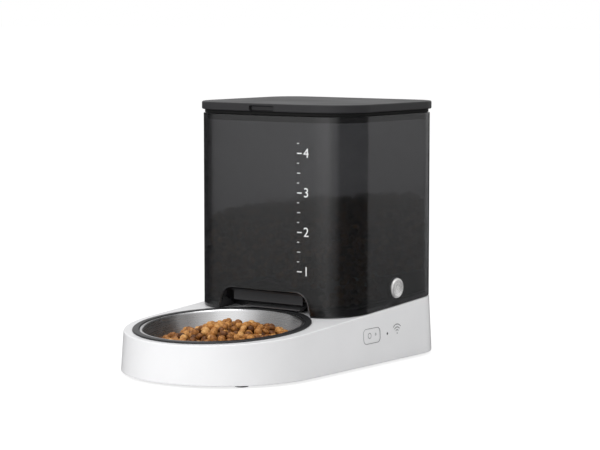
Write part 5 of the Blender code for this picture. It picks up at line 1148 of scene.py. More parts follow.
class FEEDER_OT_bowl(bpy.types.Operator):
    """Brushed steel bowl and the dark ring round it"""

    bl_idname = "feeder.add_bowl"
    bl_label = "Bowl and ring"

    def execute(self, context):
        part = sizes()
        place = DECK @ Matrix.Translation((0.0, part.bowl_centre, 0.0))
        self.ring(place)
        self.bowl(place)
        return {"FINISHED"}

    def ring(self, place):
        """Dark ring with a rounded top and a skirt down into the housing."""
        outer = sizes().ring_radius
        inner = outer - 0.0060
        seat = outer - 0.0075
        bm = bmesh.new()
        side = Vector((0.0, -1.0, 0.0))
        runs = [
            ("to", (outer - 0.0011, 0.0, 0.0015)),
            ("turn", (outer - 0.0011, 0.0, 0.0004), 90, 6, -side),
            ("to", (outer, 0.0, 0.0003)),
            ("to", (outer - 0.0023, 0.0, 0.0003)),
            ("to", (outer - 0.0023, 0.0, -0.0090)),
            ("to", (outer - 0.0039, 0.0, -0.0090)),
            ("to", (outer - 0.0039, 0.0, -0.0026)),
            ("to", (seat, 0.0, -0.0026)),
            ("to", (seat, 0.0, -0.0010)),
            ("to", (inner, 0.0, -0.0010)),
            ("to", (inner, 0.0, 0.0010)),
            ("turn", (inner + 0.0005, 0.0, 0.0010), 90, 4, -side),
        ]
        _, edges = draw_line(bm, (inner + 0.0005, 0.0, 0.0015), runs)
        turn_profile(bm, edges)
        mesh = bm_to_mesh(bm, "bowl_ring_finish", place)
        place_piece("bowl_ring_finish", mesh, ring_plastic(), "base", ["bowl_ring"])

    def bowl(self, place):
        """Spun bowl with a round corner, a flared wall and a crowned rim."""
        part = sizes()
        depth, corner, floor = part.bowl_depth, BOWL_CORNER, BOWL_FLOOR_RADIUS
        sheet = 0.0009
        mouth = Vector((part.bowl_mouth, -0.0010))
        centre = Vector((floor, corner - depth))
        reach = mouth - centre
        end = math.atan2(reach.y, reach.x) - math.acos(corner / reach.length)
        swing = math.degrees(end) + 90
        wall = Vector((math.cos(end), math.sin(end)))
        far = mouth + wall * sheet
        lip = part.ring_radius - 0.0063
        low = -0.0007
        side = Vector((0.0, -1.0, 0.0))
        bm = bmesh.new()
        runs = [
            ("to", (floor, 0.0, -depth)),
            ("turn", (centre.x, 0.0, centre.y), swing, 12, side),
            ("to", (mouth.x - 0.0001, 0.0, mouth.y - 0.0005)),
            ("to", (mouth.x + 0.0002, 0.0, -0.0001)),
            ("to", (mouth.x + 0.0008, 0.0, 0.0006)),
            ("to", (mouth.x + 0.0014, 0.0, 0.0010)),
            ("to", (mouth.x + 0.0019, 0.0, 0.0010)),
            ("to", (lip - 0.0008, 0.0, 0.0008)),
            ("to", (lip - 0.0003, 0.0, 0.0005)),
            ("to", (lip, 0.0, -0.0001)),
            ("to", (lip - 0.0002, 0.0, low + 0.0001)),
            ("to", (lip - 0.0005, 0.0, low)),
            ("to", (far.x + 0.0005, 0.0, low)),
            ("to", (far.x, 0.0, far.y - sheet)),
            ("to", (centre.x + wall.x * (corner + sheet), 0.0, centre.y + wall.y * (corner + sheet))),
            ("turn", (centre.x, 0.0, centre.y), -swing, 12, side),
            ("to", (0.0, 0.0, -depth - sheet)),
        ]
        _, edges = draw_line(bm, (0.0, 0.0, -depth), runs, closed=False)
        turn_profile(bm, edges)
        mesh = bm_to_mesh(bm, "steel_bowl_finish", place)
        unwrap_round(mesh, place)
        steel = spun_metal("spun steel", colours().steel, 0.28, place, 0.03, 0.40)
        place_piece("steel_bowl_finish", mesh, steel, "bowl", ["steel_bowl"])


class FEEDER_OT_bowl_food(bpy.types.Operator):
    """Heap of dry food in the bowl"""

    bl_idname = "feeder.add_bowl_food"
    bl_label = "Food in the bowl"

    def execute(self, context):
        part, food = sizes(), context.scene.feeder_food
        rng = random.Random(food.seed)
        place = DECK @ Matrix.Translation((0.0, part.bowl_centre, 0.0))
        depth, corner, flat = part.bowl_depth, BOWL_CORNER, BOWL_FLOOR_RADIUS
        limit = 0.0605

        def pick(source):
            reach = limit * math.sqrt(source.random())
            angle = source.uniform(0, 2 * math.pi)
            return reach * math.cos(angle), reach * math.sin(angle)

        def floor(x, y):
            out = max(0.0, math.hypot(x, y) - flat + food.pellet)
            if out >= corner:
                return corner - depth + (out - corner) * 3
            return corner - math.sqrt(corner * corner - out * out) - depth

        def top(x, y):
            share = math.hypot(x - 0.002, y) / 0.058
            wave = noise.noise(Vector((x, y, 0.0)) * 42 + Vector((3.1, 7.7, 1.3))) * 0.0042
            return 0.0030 - 0.0128 * share ** 2.0 + wave

        def allowed(x, y):
            return math.hypot(x, y) < limit

        places = heap_places(rng, food.bowl_count, food.pellet, pick, floor, top, allowed)
        pellets = pellet_meshes(10, food.pellet, rng, 10, 6)

        # Painted shade: the lower a pellet lies under the heap's top, the darker its tone, for the shade in the gaps
        # between pellets
        def buried(x, y, z):
            return (top(x, y) - z - food.pellet) * 60

        finish = food_finish("dry food")
        food_heap("bowl_food", places, pellets, rng, finish, "bowl", buried, place)
        return {"FINISHED"}


class FEEDER_OT_controls(bpy.types.Operator):
    """Feed button with its mark, status lamp and wireless mark"""

    bl_idname = "feeder.add_controls"
    bl_label = "Controls"

    def execute(self, context):
        white = housing_white()
        refine("feed_button", white, "button", 0.0004, segments=3)
        self.lens()
        print_grey = mark_paint()
        lean = JOINTS["feed_press"]["axis"]
        tilt = math.atan2(-lean[2], -lean[0])
        face = Matrix.Rotation(-tilt, 4, "Y") @ Matrix.Rotation(math.pi / 2, 4, "Y")
        button = Matrix.Translation((BASE_HIGH.x, *BUTTON_PLACE)) @ face
        bm = bmesh.new()
        self.flat_arc(bm, (-0.0003, -0.0033), 0.0024, 0.0006, 0, 360, 40)
        self.flat_arc(bm, (-0.0008, 0.0064), 0.0009, 0.0005, 0, 360, 20)
        self.lay_on_side(bm, button, PRINT_LIFT)
        mesh = bm_to_mesh(bm, "button_mark")
        width, length = BUTTON_SIZE
        grown = BUTTON_CORNER + BUTTON_SEAM / 2
        line_on_gap = self.outline(button, width, length, BUTTON_CORNER)
        line_on_wall = self.outline(button, width + BUTTON_SEAM, length + BUTTON_SEAM, grown)
        points = [(wall[0], own[1], own[2]) for wall, own in zip(line_on_wall, line_on_gap)]
        line = wire_mesh("button_seam", points, 0.00024, Matrix(), True)
        place_piece("button_seam", line, print_grey, "base")
        place_piece("button_mark", mesh, print_grey, "button")
        bm = bmesh.new()
        for radius in (0.0031, 0.0057, 0.0084):
            self.flat_arc(bm, (0.0, 0.0), radius, 0.0008, 134, 92, 18)
        bmesh.ops.create_circle(bm, cap_ends=True, segments=20, radius=0.0007)
        self.lay_on_side(bm, Matrix.Translation((BASE_HIGH.x, *WIRELESS_PLACE)) @ face, PRINT_LIFT)
        mesh = bm_to_mesh(bm, "wireless_mark")
        place_piece("wireless_mark", mesh, print_grey, "base")
        return {"FINISHED"}

    def outline(self, matrix, width, length, corner):
        """Points of a rounded oblong round the button, on the outside of the wall."""
        bm = bmesh.new()
        start, runs = rounded_line(width, length, corner, 8)
        verts, _ = draw_line(bm, start, runs)
        self.lay_on_side(bm, matrix, 0.0)
        points = [tuple(vert.co) for vert in verts]
        bm.free()
        return points

    def lay_on_side(self, bm, matrix, lift):
        """Turns flat points into place and drops them on the outside of the base's right wall."""
        bmesh.ops.transform(bm, matrix=matrix, verts=bm.verts)
        solids = bmesh.new()
        for name in ("base_shell", "feed_button"):
            solids.from_mesh(frame["nodes"][name].data)
        tree = BVHTree.FromBMesh(solids)
        solids.free()
        for vert in bm.verts:
            start = Vector((BASE_HIGH.x + 0.010, vert.co.y, vert.co.z))
            hit = tree.ray_cast(start, Vector((-1.0, 0.0, 0.0)))[0]
            if hit is None:
                raise RuntimeError("a mark lies beside the base's wall")
            vert.co.x = hit.x + lift

    def flat_arc(self, bm, centre, radius, width, start, sweep, steps):
        """A printed arc: a short line turned round a centre. Angles run from the -x side, in degrees."""
        first = Matrix.Rotation(math.radians(start), 4, "Z")
        middle = Vector((centre[0], centre[1], 0.0))
        ends = [middle + first @ Vector((radius + side * width / 2, 0.0, 0.0)) for side in (-1, 1)]
        verts = [bm.verts.new(point) for point in ends]
        edge = bm.edges.new(verts)
        bmesh.ops.spin(
            bm,
            geom=[*verts, edge],
            cent=middle,
            axis=UP,
            angle=math.radians(sweep),
            steps=steps,
            use_merge=sweep == 360,
        )

    def lens(self):
        """Small dark lens: a short cylinder with softened edges."""
        low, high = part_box("indicator_lens")
        radius = (high.z - low.z) / 2
        middle = (low + high) / 2
        bm = bmesh.new()
        bmesh.ops.create_cone(
            bm, cap_ends=True, segments=32, radius1=radius, radius2=radius, depth=high.x - low.x
        )
        soften(bm, 0.0003, 3)
        matrix = Matrix.Translation(middle) @ Matrix.Rotation(math.pi / 2, 4, "Y")
        mesh = bm_to_mesh(bm, "indicator_lens_finish", matrix)
        glass = plastic("lamp lens", (0.03, 0.03, 0.035), 0.12, cloud=0.01)
        place_piece("indicator_lens_finish", mesh, glass, "base", ["indicator_lens"])


class FEEDER_OT_tank(bpy.types.Operator):
    """Smoke-clear tank wall with its outlet arch and knob holes"""

    bl_idname = "feeder.add_tank"
    bl_label = "Tank"

    def execute(self, context):
        part = sizes()
        seam = DECK_LEVEL + 0.0005
        bm = bmesh.new()
        upper = set(fill_and_raise(bm, tank_line(0.0, seam), TANK_HIGH.z - seam))
        slope_to_deck(bm, [vert for vert in bm.verts if vert not in upper])
        shell = work_object(bm, "tank_work")
        bm = bmesh.new()
        fill_and_raise(bm, tank_line(part.tank_wall, 0.0), TANK_HIGH.z + 0.010)
        cutters = [work_object(bm, "inside_cut")]
        bm = bmesh.new()
        fill_and_raise(bm, arch_line(0.0, -0.004), 0.030)
        bmesh.ops.translate(bm, verts=bm.verts, vec=(0.0, 0.0, -0.020))
        cutters.append(work_object(bm, "arch_cut", DECK @ TO_DEPTH))
        knob = (KNOB_LOW + KNOB_HIGH) / 2
        for name, side in SIDES:
            bm = bmesh.new()
            bmesh.ops.create_cone(
                bm, cap_ends=True, segments=64, radius1=KNOB_HOLE, radius2=KNOB_HOLE, depth=0.010
            )
            turn = Matrix.Translation((side * TANK_HIGH.x, knob.y, knob.z)) @ Matrix.Rotation(math.pi / 2, 4, "Y")
            cutters.append(work_object(bm, f"knob_cut_{name}", turn))
        combine(shell, cutters)
        finish_work(
            shell, "tank_shell_finish", smoke_clear(), "tank", ["tank_shell"], 40, 0.0004
        )
        return {"FINISHED"}


class FEEDER_OT_fill_scale(bpy.types.Operator):
    """Plain fill scale printed on the tank's front"""

    bl_idname = "feeder.add_fill_scale"
    bl_label = "Fill scale"

    def execute(self, context):
        part = sizes()
        left, right = 0.0390, 0.0525
        low, step = 0.0885, 0.0090
        bm = bmesh.new()
        for index in range(14):
            major = index % 4 == 0
            length = 0.0052 if major else (0.0036 if index % 2 == 0 else 0.0024)
            height = 0.0010 if major else 0.0006
            bar = Matrix.Translation((left + length / 2, 0.0, low + index * step))
            bmesh.ops.create_grid(
                bm,
                x_segments=6,
                y_segments=1,
                size=0.5,
                matrix=bar @ Matrix.Diagonal((length, 1.0, height, 1.0)) @ Matrix.Rotation(math.pi / 2, 4, "X"),
            )
        mesh = bpy.data.meshes.new("scale_bars")
        bm.to_mesh(mesh)
        bm.free()
        whole = bmesh.new()
        whole.from_mesh(mesh)
        bpy.data.meshes.remove(mesh)
        for number in range(1, 5):
            curve = bpy.data.curves.new("figure", "FONT")
            curve.body = str(number)
            curve.size = 0.0122
            curve.align_x = "CENTER"
            curve.align_y = "CENTER"
            text = bpy.data.objects.new("figure", curve)
            bpy.context.scene.collection.objects.link(text)
            graph = bpy.context.evaluated_depsgraph_get()
            figure = bpy.data.meshes.new_from_object(text.evaluated_get(graph))
            height = low + (number - 1) * 4 * step
            place = Matrix.Translation((right - 0.0036, 0.0, height)) @ Matrix.Rotation(math.pi / 2, 4, "X")
            figure.transform(place)
            whole.from_mesh(figure)
            bpy.data.objects.remove(text)
            bpy.data.curves.remove(curve)
            bpy.data.meshes.remove(figure)
        flat = TANK_HIGH.x - part.tank_front_radius
        nose = TANK_LOW.y
        bow = (flat * flat + (part.tank_bow + part.tank_front_radius) ** 2 - part.tank_front_radius ** 2)
        bow = bow / (2 * part.tank_bow)
        for vert in whole.verts:
            vert.co.y = nose + bow - math.sqrt(bow * bow - vert.co.x ** 2) - PRINT_LIFT
        mesh = bm_to_mesh(whole, "fill_scale")
        place_piece("fill_scale", mesh, scale_paint(), "tank")
        return {"FINISHED"}


class FEEDER_OT_outlet(bpy.types.Operator):
    """Tank floor, hood, ramp, flap, baffle and the housings behind the knobs"""

    bl_idname = "feeder.add_outlet"
    bl_label = "Outlet and tank floor"

    def execute(self, context):
        dark, gloss = dark_plastic(), gloss_plastic()
        refine("hopper_floor", dark, "tank")
        refine("outlet_baffle", dark, "tank", 0.0003)
        refine("outlet_hood", gloss, "tank")
        ramp = plastic("ramp plastic", (0.11, 0.11, 0.115), 0.30, cloud=0.02, strength=0.1)
        refine("outlet_ramp", ramp, "tank", 0.0002)
        refine("outlet_flap", gloss, "flap", 0.0002)
        for name, _ in SIDES:
            refine(f"latch_housing_{name}", dark, "tank", 0.0008)
        self.lip()
        return {"FINISHED"}

    def lip(self):
        """Clear rounded lip round the outlet arch."""
        part = sizes()
        bead = 0.0007
        bm = bmesh.new()
        start, runs = arch_line(bead, 0.0030)
        verts, _ = draw_line(bm, start, runs, closed=False)
        flat = TANK_HIGH.x - part.tank_front_radius
        points = []
        for vert in verts:
            across, height, _ = vert.co
            bowed = part.tank_bow * (1 - min(1.0, abs(across) / flat) ** 2)
            front = TANK_LOW.y + part.tank_bow - bowed + height * math.tan(DECK_TILT)
            points.append((across, front + 0.0003, height))
        bm.free()
        mesh = wire_mesh("arch_lip", points, bead, DECK)
        clear = plastic("clear lip", (0.022, 0.022, 0.024), 0.09, cloud=0.02, coat=0.8, strength=0.05)
        place_piece("arch_lip", mesh, clear, "tank")


class FEEDER_OT_rotor(bpy.types.Operator):
    """Metering rotor with its paddles and stirrer"""

    bl_idname = "feeder.add_rotor"
    bl_label = "Rotor"

    def execute(self, context):
        dark = dark_plastic()
        refine("rotor_hub", dark, "rotor", 0.0004)
        refine("rotor_stirrer", dark, "rotor")
        refine("rotor_socket", dark, "rotor", 0.0003)
        refine("rotor_paddles", silicone(), "rotor", 0.0006, segments=3)
        return {"FINISHED"}


class FEEDER_OT_release(bpy.types.Operator):
    """Brushed release knobs, their latch arms and coil springs"""

    bl_idname = "feeder.add_release"
    bl_label = "Release knobs"

    def execute(self, context):
        for name, side in SIDES:
            self.knob(name, side)
            refine(f"release_latch_{name}", dark_plastic(), f"release_{name}", 0.0004)
            self.spring(name)
        return {"FINISHED"}

    def knob(self, name, side):
        """Turned knob: chamfered rim, shallow dish, flange behind the wall, ring groove for the spring's end."""
        low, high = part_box(f"release_button_{name}")
        middle = (low + high) / 2
        outer = high.x if side > 0 else -low.x
        face, reach = outer, (high.z - low.z) / 2
        flange_in = low.x if side > 0 else -high.x
        radius, edge = KNOB_RADIUS, KNOB_EDGE
        spring_low, spring_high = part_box(f"release_spring_{name}")
        coil, room = (spring_high.y - spring_low.y) / 2 - SPRING_WIRE, 0.0011
        travel = JOINTS[f"release_{name}_press"]["range_m"][1] + KNOB_TRAVEL_ROOM
        axis = Matrix.Translation((0.0, middle.y, middle.z)) @ Matrix.Rotation(side * math.pi / 2, 4, "Y")
        bm = bmesh.new()
        across = Vector((0.0, -1.0, 0.0))
        runs = [
            ("to", (0.0070, 0.0, face - 0.00020)),
            ("to", (radius - edge, 0.0, face)),
            ("turn", (radius - edge, 0.0, face - edge), 90, 5, -across),
            ("to", (radius, 0.0, flange_in + KNOB_FLANGE)),
            ("to", (reach, 0.0, flange_in + KNOB_FLANGE)),
            ("to", (reach, 0.0, flange_in)),
            ("to", (coil + room, 0.0, flange_in)),
            ("to", (coil + room, 0.0, flange_in + travel)),
            ("to", (coil - room, 0.0, flange_in + travel)),
            ("to", (coil - room, 0.0, flange_in)),
            ("to", (0.0, 0.0, flange_in)),
        ]
        _, edges = draw_line(bm, (0.0, 0.0, face - 0.00045), runs, closed=False)
        turn_profile(bm, edges, steps=96)
        mesh = bm_to_mesh(bm, f"release_knob_{name}", axis)
        unwrap_round(mesh, axis)
        silver = spun_metal(f"brushed knob {name}", colours().silver, 0.28, axis, 0.06, 0.75, 3600.0, 0.6, 0.62)
        place_piece(
            f"release_knob_{name}",
            mesh,
            silver,
            f"release_{name}",
            [f"release_button_{name}"],
        )

    def spring(self, name):
        """Coil spring wound from round wire."""
        low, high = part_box(f"release_spring_{name}")
        radius = (high.y - low.y) / 2 - SPRING_WIRE
        middle = (low + high) / 2
        turns = 4
        length = high.x - low.x - 2 * SPRING_WIRE
        bm = bmesh.new()
        made = bmesh.ops.create_circle(bm, cap_ends=False, segments=8, radius=SPRING_WIRE)
        start = Matrix.Translation((low.x + SPRING_WIRE, middle.y + radius, middle.z))
        start = start @ Matrix.Rotation(math.pi / 2, 4, "X")
        start = start @ Matrix.Rotation(math.pi / 2, 4, "X")
        bmesh.ops.transform(bm, matrix=start, verts=made["verts"])
        edges = list({edge for vert in made["verts"] for edge in vert.link_edges})
        steps = turns * 20
        bmesh.ops.spin(
            bm,
            geom=made["verts"] + edges,
            cent=(low.x, middle.y, middle.z),
            axis=(1.0, 0.0, 0.0),
            dvec=(length / steps, 0.0, 0.0),
            angle=2 * math.pi * turns,
            steps=steps,
        )
        open_edges = [edge for edge in bm.edges if len(edge.link_faces) == 1]
        bmesh.ops.holes_fill(bm, edges=open_edges, sides=8)
        bmesh.ops.recalc_face_normals(bm, faces=bm.faces)
        mesh = bm_to_mesh(bm, f"release_coil_{name}", angle=60)
        steel = plain_metal("spring steel", (0.50, 0.50, 0.52), 0.28)
        place_piece(f"release_coil_{name}", mesh, steel, "tank", [f"release_spring_{name}"])


class FEEDER_OT_lid(bpy.types.Operator):
    """Flat lid with its finger recess, and the seal below it"""

    bl_idname = "feeder.add_lid"
    bl_label = "Lid and seal"

    def execute(self, context):
        part = sizes()
        under = LID_HIGH.z - 0.0074
        bm = bmesh.new()
        fill_and_raise(bm, tank_line(-part.lid_overhang, under), LID_HIGH.z - under)
        soften(bm, part.lid_edge, 5)
        lid = work_object(bm, "lid_work")
        bm = bmesh.new()
        fill_and_raise(bm, tank_line(0.0040, LID_LOW.z), 0.0140)
        joined = [work_object(bm, "plug_work")]
        combine(lid, joined, "UNION")
        cutters = []
        bm = bmesh.new()
        fill_and_raise(bm, tank_line(0.0060, LID_LOW.z - 0.004), LID_HIGH.z - 0.0024 - LID_LOW.z + 0.004)
        cutters.append(work_object(bm, "plug_cut"))
        bm = bmesh.new()
        fill_and_raise(bm, rounded_line(0.0286, 0.0054, 0.0016), 0.0080)
        matrix = Matrix.Translation((0.0, LID_LOW.y - 0.004, under + 0.0029)) @ TO_DEPTH
        notch = work_object(bm, "notch_cut", matrix)
        bm = bmesh.new()
        fill_and_raise(bm, rounded_line(0.0266, 0.0034, 0.0008), 0.0060)
        matrix = Matrix.Translation((0.0, LID_LOW.y + 0.0027, under + 0.0029)) @ TO_DEPTH
        combine(notch, [work_object(bm, "notch_plate", matrix)])
        cutters.append(notch)
        combine(lid, cutters)
        finish_work(lid, "lid_finish", lid_plastic(), "lid", ["lid"], 34, 0.0)
        refine("lid_gasket", rubber(), "lid", 0.0004)
        return {"FINISHED"}


class FEEDER_OT_desiccant(bpy.types.Operator):
    """Desiccant box, its pack and the vented cover"""

    bl_idname = "feeder.add_desiccant"
    bl_label = "Desiccant box"

    def execute(self, context):
        pale = pale_plastic()
        refine("desiccant_box", pale, "lid", 0.0004)
        refine("desiccant_cover", pale, "dryer_cover", 0.0002)
        pack = plastic("desiccant pack", (0.80, 0.80, 0.78), 0.8, grain=700.0, depth=0.0003, strength=0.8)
        refine("desiccant_pack", pack, "lid")
        return {"FINISHED"}


class FEEDER_OT_drive(bpy.types.Operator):
    """Motor, gears and frame under the deck"""

    bl_idname = "feeder.add_drive"
    bl_label = "Drive"

    def execute(self, context):
        steel = plain_metal("motor steel", (0.42, 0.43, 0.44), 0.30)
        refine("drive_motor", steel, "base")
        refine("idler_pin", steel, "base", 0.0002)
        refine("drive_coupling", steel, "drive", 0.0002)
        refine("motor_pinion", plain_metal("brass", (0.70, 0.54, 0.24), 0.26), "pinion")
        natural = gear_plastic()
        refine("output_gear", natural, "drive")
        refine("idler_gear", natural, "idler")
        dark = dark_plastic()
        refine("gearbox_frame", dark, "base", 0.0003)
        refine("gearbox_cover", dark, "base", 0.0003)
        return {"FINISHED"}


class FEEDER_OT_electronics(bpy.types.Operator):
    """Circuit board, radio, switch, battery holder and cells"""

    bl_idname = "feeder.add_electronics"
    bl_label = "Electronics"

    def execute(self, context):
        self.board()
        dress("wireless_module", plain_metal("shield metal", (0.60, 0.60, 0.61), 0.32))
        dress("button_switch", dark_plastic())
        refine("battery_holder", dark_plastic(), "base", 0.0003)
        for index in range(1, 5):
            refine(f"battery_cell_{index}", self.cell_finish(), "base", 0.0003)
        return {"FINISHED"}

    def board(self):
        """Green board with a few chips and pads on its inner face."""
        low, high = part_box("circuit_board")
        material, tree, shader, place = new_material("circuit board")
        lanes = add_node(tree, "ShaderNodeTexVoronoi", (-800, 0), feature="DISTANCE_TO_EDGE", distance="MANHATTAN")
        lanes.inputs["Scale"].default_value = 260.0
        tree.links.new(place, lanes.inputs["Vector"])
        tracks = spread_node(tree, lanes.outputs["Distance"], 1.35, 0.9, (-600, 0), 0.02, 0.05)
        surface = use_group(tree, moulded_group(), Colour=(0.015, 0.13, 0.05, 1.0), Roughness=0.35)
        tree.links.new(place, surface.inputs["Vector"])
        colour = shade_colour(tree, surface.outputs["Colour"], tracks, (-200, 100))
        tree.links.new(colour, shader.inputs["Base Color"])
        tree.links.new(surface.outputs["Roughness"], shader.inputs["Roughness"])
        bump(tree, shader, lanes.outputs["Distance"], 0.3, 0.0001)
        dress("circuit_board", material)
        bm = bmesh.new()
        for v, z, wide, tall, deep in (
            (0.022, 0.012, 0.008, 0.008, 0.0012),
            (0.052, 0.030, 0.010, 0.007, 0.0014),
            (0.058, 0.011, 0.012, 0.006, 0.0040),
            (0.030, 0.022, 0.005, 0.004, 0.0010),
            (0.012, 0.028, 0.004, 0.006, 0.0012),
        ):
            matrix = Matrix.Translation((low.x - deep / 2 - 0.00005, low.y + v, low.z + z))
            matrix = matrix @ Matrix.Diagonal((deep, wide, tall, 1.0))
            bmesh.ops.create_cube(bm, size=1.0, matrix=matrix)
        soften(bm, 0.0002, 2)
        mesh = bm_to_mesh(bm, "board_parts")
        place_piece("board_parts", mesh, dark_plastic(), "base")

    def cell_finish(self):
        """Dark, partly metallic sleeve of a cell."""
        known = bpy.data.materials.get("cell sleeve")
        if known:
            return known
        material, tree, shader, place = new_material("cell sleeve")
        surface = use_group(tree, moulded_group(), Colour=(0.10, 0.11, 0.12, 1.0), Roughness=0.28)
        tree.links.new(place, surface.inputs["Vector"])
        tree.links.new(surface.outputs["Colour"], shader.inputs["Base Color"])
        tree.links.new(surface.outputs["Roughness"], shader.inputs["Roughness"])
        shader.inputs["Metallic"].default_value = 0.6
        return material


class FEEDER_OT_tank_food(bpy.types.Operator):
    """Dry food against the tank's walls and over its top surface"""

    bl_idname = "feeder.add_tank_food"
    bl_label = "Food in the tank"

    def execute(self, context):
        part, food = sizes(), context.scene.feeder_food
        rng = random.Random(food.seed + 1)
        ball = food.pellet * 1.02
        gap = part.tank_wall + 0.0010
        half_x = TANK_HIGH.x - gap
        front, back = TANK_LOW.y + part.tank_bow + gap, TANK_HIGH.y - gap
        deep = 0.0085
        front_edge = ((0.0, 0.1275), (0.14, 0.1225), (0.24, 0.1180), (0.42, 0.1168), (0.72, 0.1188), (1.0, 0.1245))
        back_edge = ((0.0, 0.1405), (0.14, 0.1435), (0.36, 0.1472), (0.56, 0.1535), (0.66, 0.1560), (1.0, 0.1550))
        left_edge = ((0.0, 0.1275), (0.08, 0.1330), (0.20, 0.1365), (0.40, 0.1385), (1.0, 0.1405))
        right_edge = ((0.0, 0.1245), (0.38, 0.1320), (0.80, 0.1442), (1.0, 0.1550))

        def inside(x, y, room):
            """Whether a point stays a distance from the walls."""
            if abs(x) > half_x - room or not front + room < y < back - room:
                return False
            for radius, level in ((part.tank_front_radius, front), (part.tank_back_radius, back)):
                edge = radius - gap
                centre_y = level + edge if level == front else level - edge
                out_y = centre_y - y if level == front else y - centre_y
                out_x = abs(x) - (half_x - edge)
                if out_x > 0 and out_y > 0 and math.hypot(out_x, out_y) > edge - room:
                    return False
            return True

        def top(x, y):
            """Top of the food: a surface stretched between its edges on the four walls."""
            way = (y - front) / (back - front)
            side = (x + half_x) / (2 * half_x)
            across = on_line(front_edge, side) * (1 - way) + on_line(back_edge, side) * way
            along = on_line(left_edge, way) * (1 - side) + on_line(right_edge, way) * side
            near = front_edge[0][1] * (1 - side) + front_edge[-1][1] * side
            far = back_edge[0][1] * (1 - side) + back_edge[-1][1] * side
            wave = noise.noise(Vector((x, y, 0.0)) * 24 + Vector((9.0, 2.0, 4.0))) * 0.0010
            return across + along - near * (1 - way) - far * way + wave

        tree = self.support_tree()
        hood_low, hood_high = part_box("outlet_hood")

        def floor(x, y):
            """What a pellet can lie on: the slab of food below, the hood, the housings or the floor."""
            if inside(x, y, deep + ball):
                return top(x, y) - 0.0150
            hit = tree.ray_cast(Vector((x, y, TANK_HIGH.z)), -UP)[0]
            level = hit.z if hit else BASE_HIGH.z
            over = hood_low.x - ball < x < hood_high.x + ball and y < hood_high.y + ball
            return max(level, hood_high.z) if over else level

        def pick(source):
            while True:
                x = source.uniform(-half_x, half_x)
                y = source.uniform(front, back)
                if not inside(x, y, ball):
                    continue
                return x, y

        def allowed(x, y):
            return inside(x, y, ball)

        places = heap_places(rng, food.tank_count, ball, pick, floor, top, allowed)
        pellets = pellet_meshes(8, ball, rng, 7, 5)
        # A darker copy of the dry food: the factor 0.36 is painted shade for the dimmer light inside the smoke tank
        finish = food_finish("stored dry food", 0.36)

        # Painted shade: pellets in the top layer get a darker tone than those lower down against the walls, standing
        # in for how light falls inside the smoke tank
        def depth(x, y, z):
            return 0.30 if z > top(x, y) - 2.6 * ball else 0.0

        food_heap("tank_food", places, pellets, rng, finish, "tank", depth)
        self.slab(front, back, half_x, deep, top, finish)
        return {"FINISHED"}

    def support_tree(self):
        """The solids inside the tank that food lies on."""
        bm = bmesh.new()
        for name in ("hopper_floor", "outlet_hood", "outlet_baffle", "latch_housing_left", "latch_housing_right"):
            bm.from_mesh(frame["nodes"][name].data)
        tree = BVHTree.FromBMesh(bm)
        bm.free()
        return tree

    def slab(self, front, back, half_x, deep, top, finish):
        """Closed body of food under the top layer of pellets, so that nothing shows between them. Its low tone is
        painted shade for the food deep in the heap.
        """
        bm = bmesh.new()
        part = sizes()
        length, width = 2 * (half_x - deep), back - front - 2 * deep
        radius = part.tank_back_radius - deep
        start, runs = rounded_line(length, width, radius, 8, (0.0, (front + back) / 2))
        _, edges = draw_line(bm, start, runs)
        face = bmesh.ops.contextual_create(bm, geom=edges)["faces"][0]
        grown = bmesh.ops.extrude_face_region(bm, geom=[face], use_keep_orig=True)
        upper = [item for item in grown["geom"] if isinstance(item, bmesh.types.BMVert)]
        for vert in bm.verts:
            deck = ROTOR_AXIS.z + (vert.co.y - ROTOR_AXIS.y) * math.tan(DECK_TILT)
            vert.co.z = deck + 0.0350
        for vert in upper:
            vert.co.z = top(vert.co.x, vert.co.y) - 0.0135
        bmesh.ops.recalc_face_normals(bm, faces=bm.faces)
        core = work_object(bm, "core_work")
        bm = bmesh.new()
        bmesh.ops.create_cone(bm, cap_ends=True, segments=48, radius1=0.028, radius2=0.028, depth=0.100)
        axis = Matrix.Translation(ROTOR_AXIS) @ Matrix.Rotation(DECK_TILT, 4, "X")
        combine(core, [work_object(bm, "rotor_room", axis)])
        piece = finish_work(core, "tank_food_core", finish, "tank")
        # Low tone 0.15: painted shade for the body of food below the pellets
        layer = piece.data.attributes.new("tone", "FLOAT", "POINT")
        layer.data.foreach_set("value", [0.15] * len(piece.data.vertices))


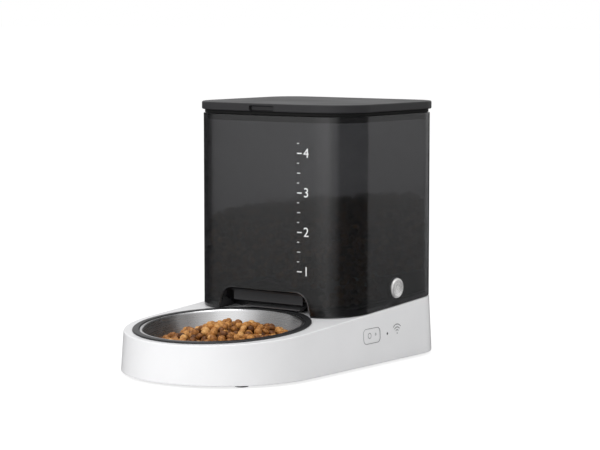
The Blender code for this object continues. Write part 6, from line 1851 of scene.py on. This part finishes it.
class FEEDER_PT_panel(bpy.types.Panel):
    """Sidebar panel of the feeder's operators"""

    bl_idname = "FEEDER_PT_panel"
    bl_label = "Pet Feeder Finish"
    bl_space_type = "VIEW_3D"
    bl_region_type = "UI"
    bl_category = "Feeder"

    def draw(self, context):
        column = self.layout.column(align=True)
        for operator in OPERATORS:
            column.operator(operator.bl_idname)


OPERATORS = (
    FEEDER_OT_stage,
    FEEDER_OT_housing,
    FEEDER_OT_bowl,
    FEEDER_OT_bowl_food,
    FEEDER_OT_controls,
    FEEDER_OT_tank,
    FEEDER_OT_fill_scale,
    FEEDER_OT_outlet,
    FEEDER_OT_rotor,
    FEEDER_OT_release,
    FEEDER_OT_lid,
    FEEDER_OT_desiccant,
    FEEDER_OT_drive,
    FEEDER_OT_electronics,
    FEEDER_OT_tank_food,
)
GROUPS = (FeederSizes, FeederColours, FeederFood)


def register():
    """Registers the classes and the scene's settings."""
    for item in (*GROUPS, *OPERATORS, FEEDER_PT_panel):
        bpy.utils.register_class(item)
    bpy.types.Scene.feeder_sizes = PointerProperty(type=FeederSizes)
    bpy.types.Scene.feeder_colours = PointerProperty(type=FeederColours)
    bpy.types.Scene.feeder_food = PointerProperty(type=FeederFood)


def unregister():
    """Removes the scene's settings and the classes."""
    del bpy.types.Scene.feeder_food
    del bpy.types.Scene.feeder_colours
    del bpy.types.Scene.feeder_sizes
    for item in reversed((*GROUPS, *OPERATORS, FEEDER_PT_panel)):
        bpy.utils.unregister_class(item)


def main():
    """Builds every piece in order."""
    register()
    bpy.ops.feeder.add_stage()
    bpy.ops.feeder.add_housing()
    bpy.ops.feeder.add_bowl()
    bpy.ops.feeder.add_bowl_food()
    bpy.ops.feeder.add_controls()
    bpy.ops.feeder.add_tank()
    bpy.ops.feeder.add_fill_scale()
    bpy.ops.feeder.add_outlet()
    bpy.ops.feeder.add_rotor()
    bpy.ops.feeder.add_release()
    bpy.ops.feeder.add_lid()
    bpy.ops.feeder.add_desiccant()
    bpy.ops.feeder.add_drive()
    bpy.ops.feeder.add_electronics()
    bpy.ops.feeder.add_tank_food()


if __name__ == "__main__":
    main()
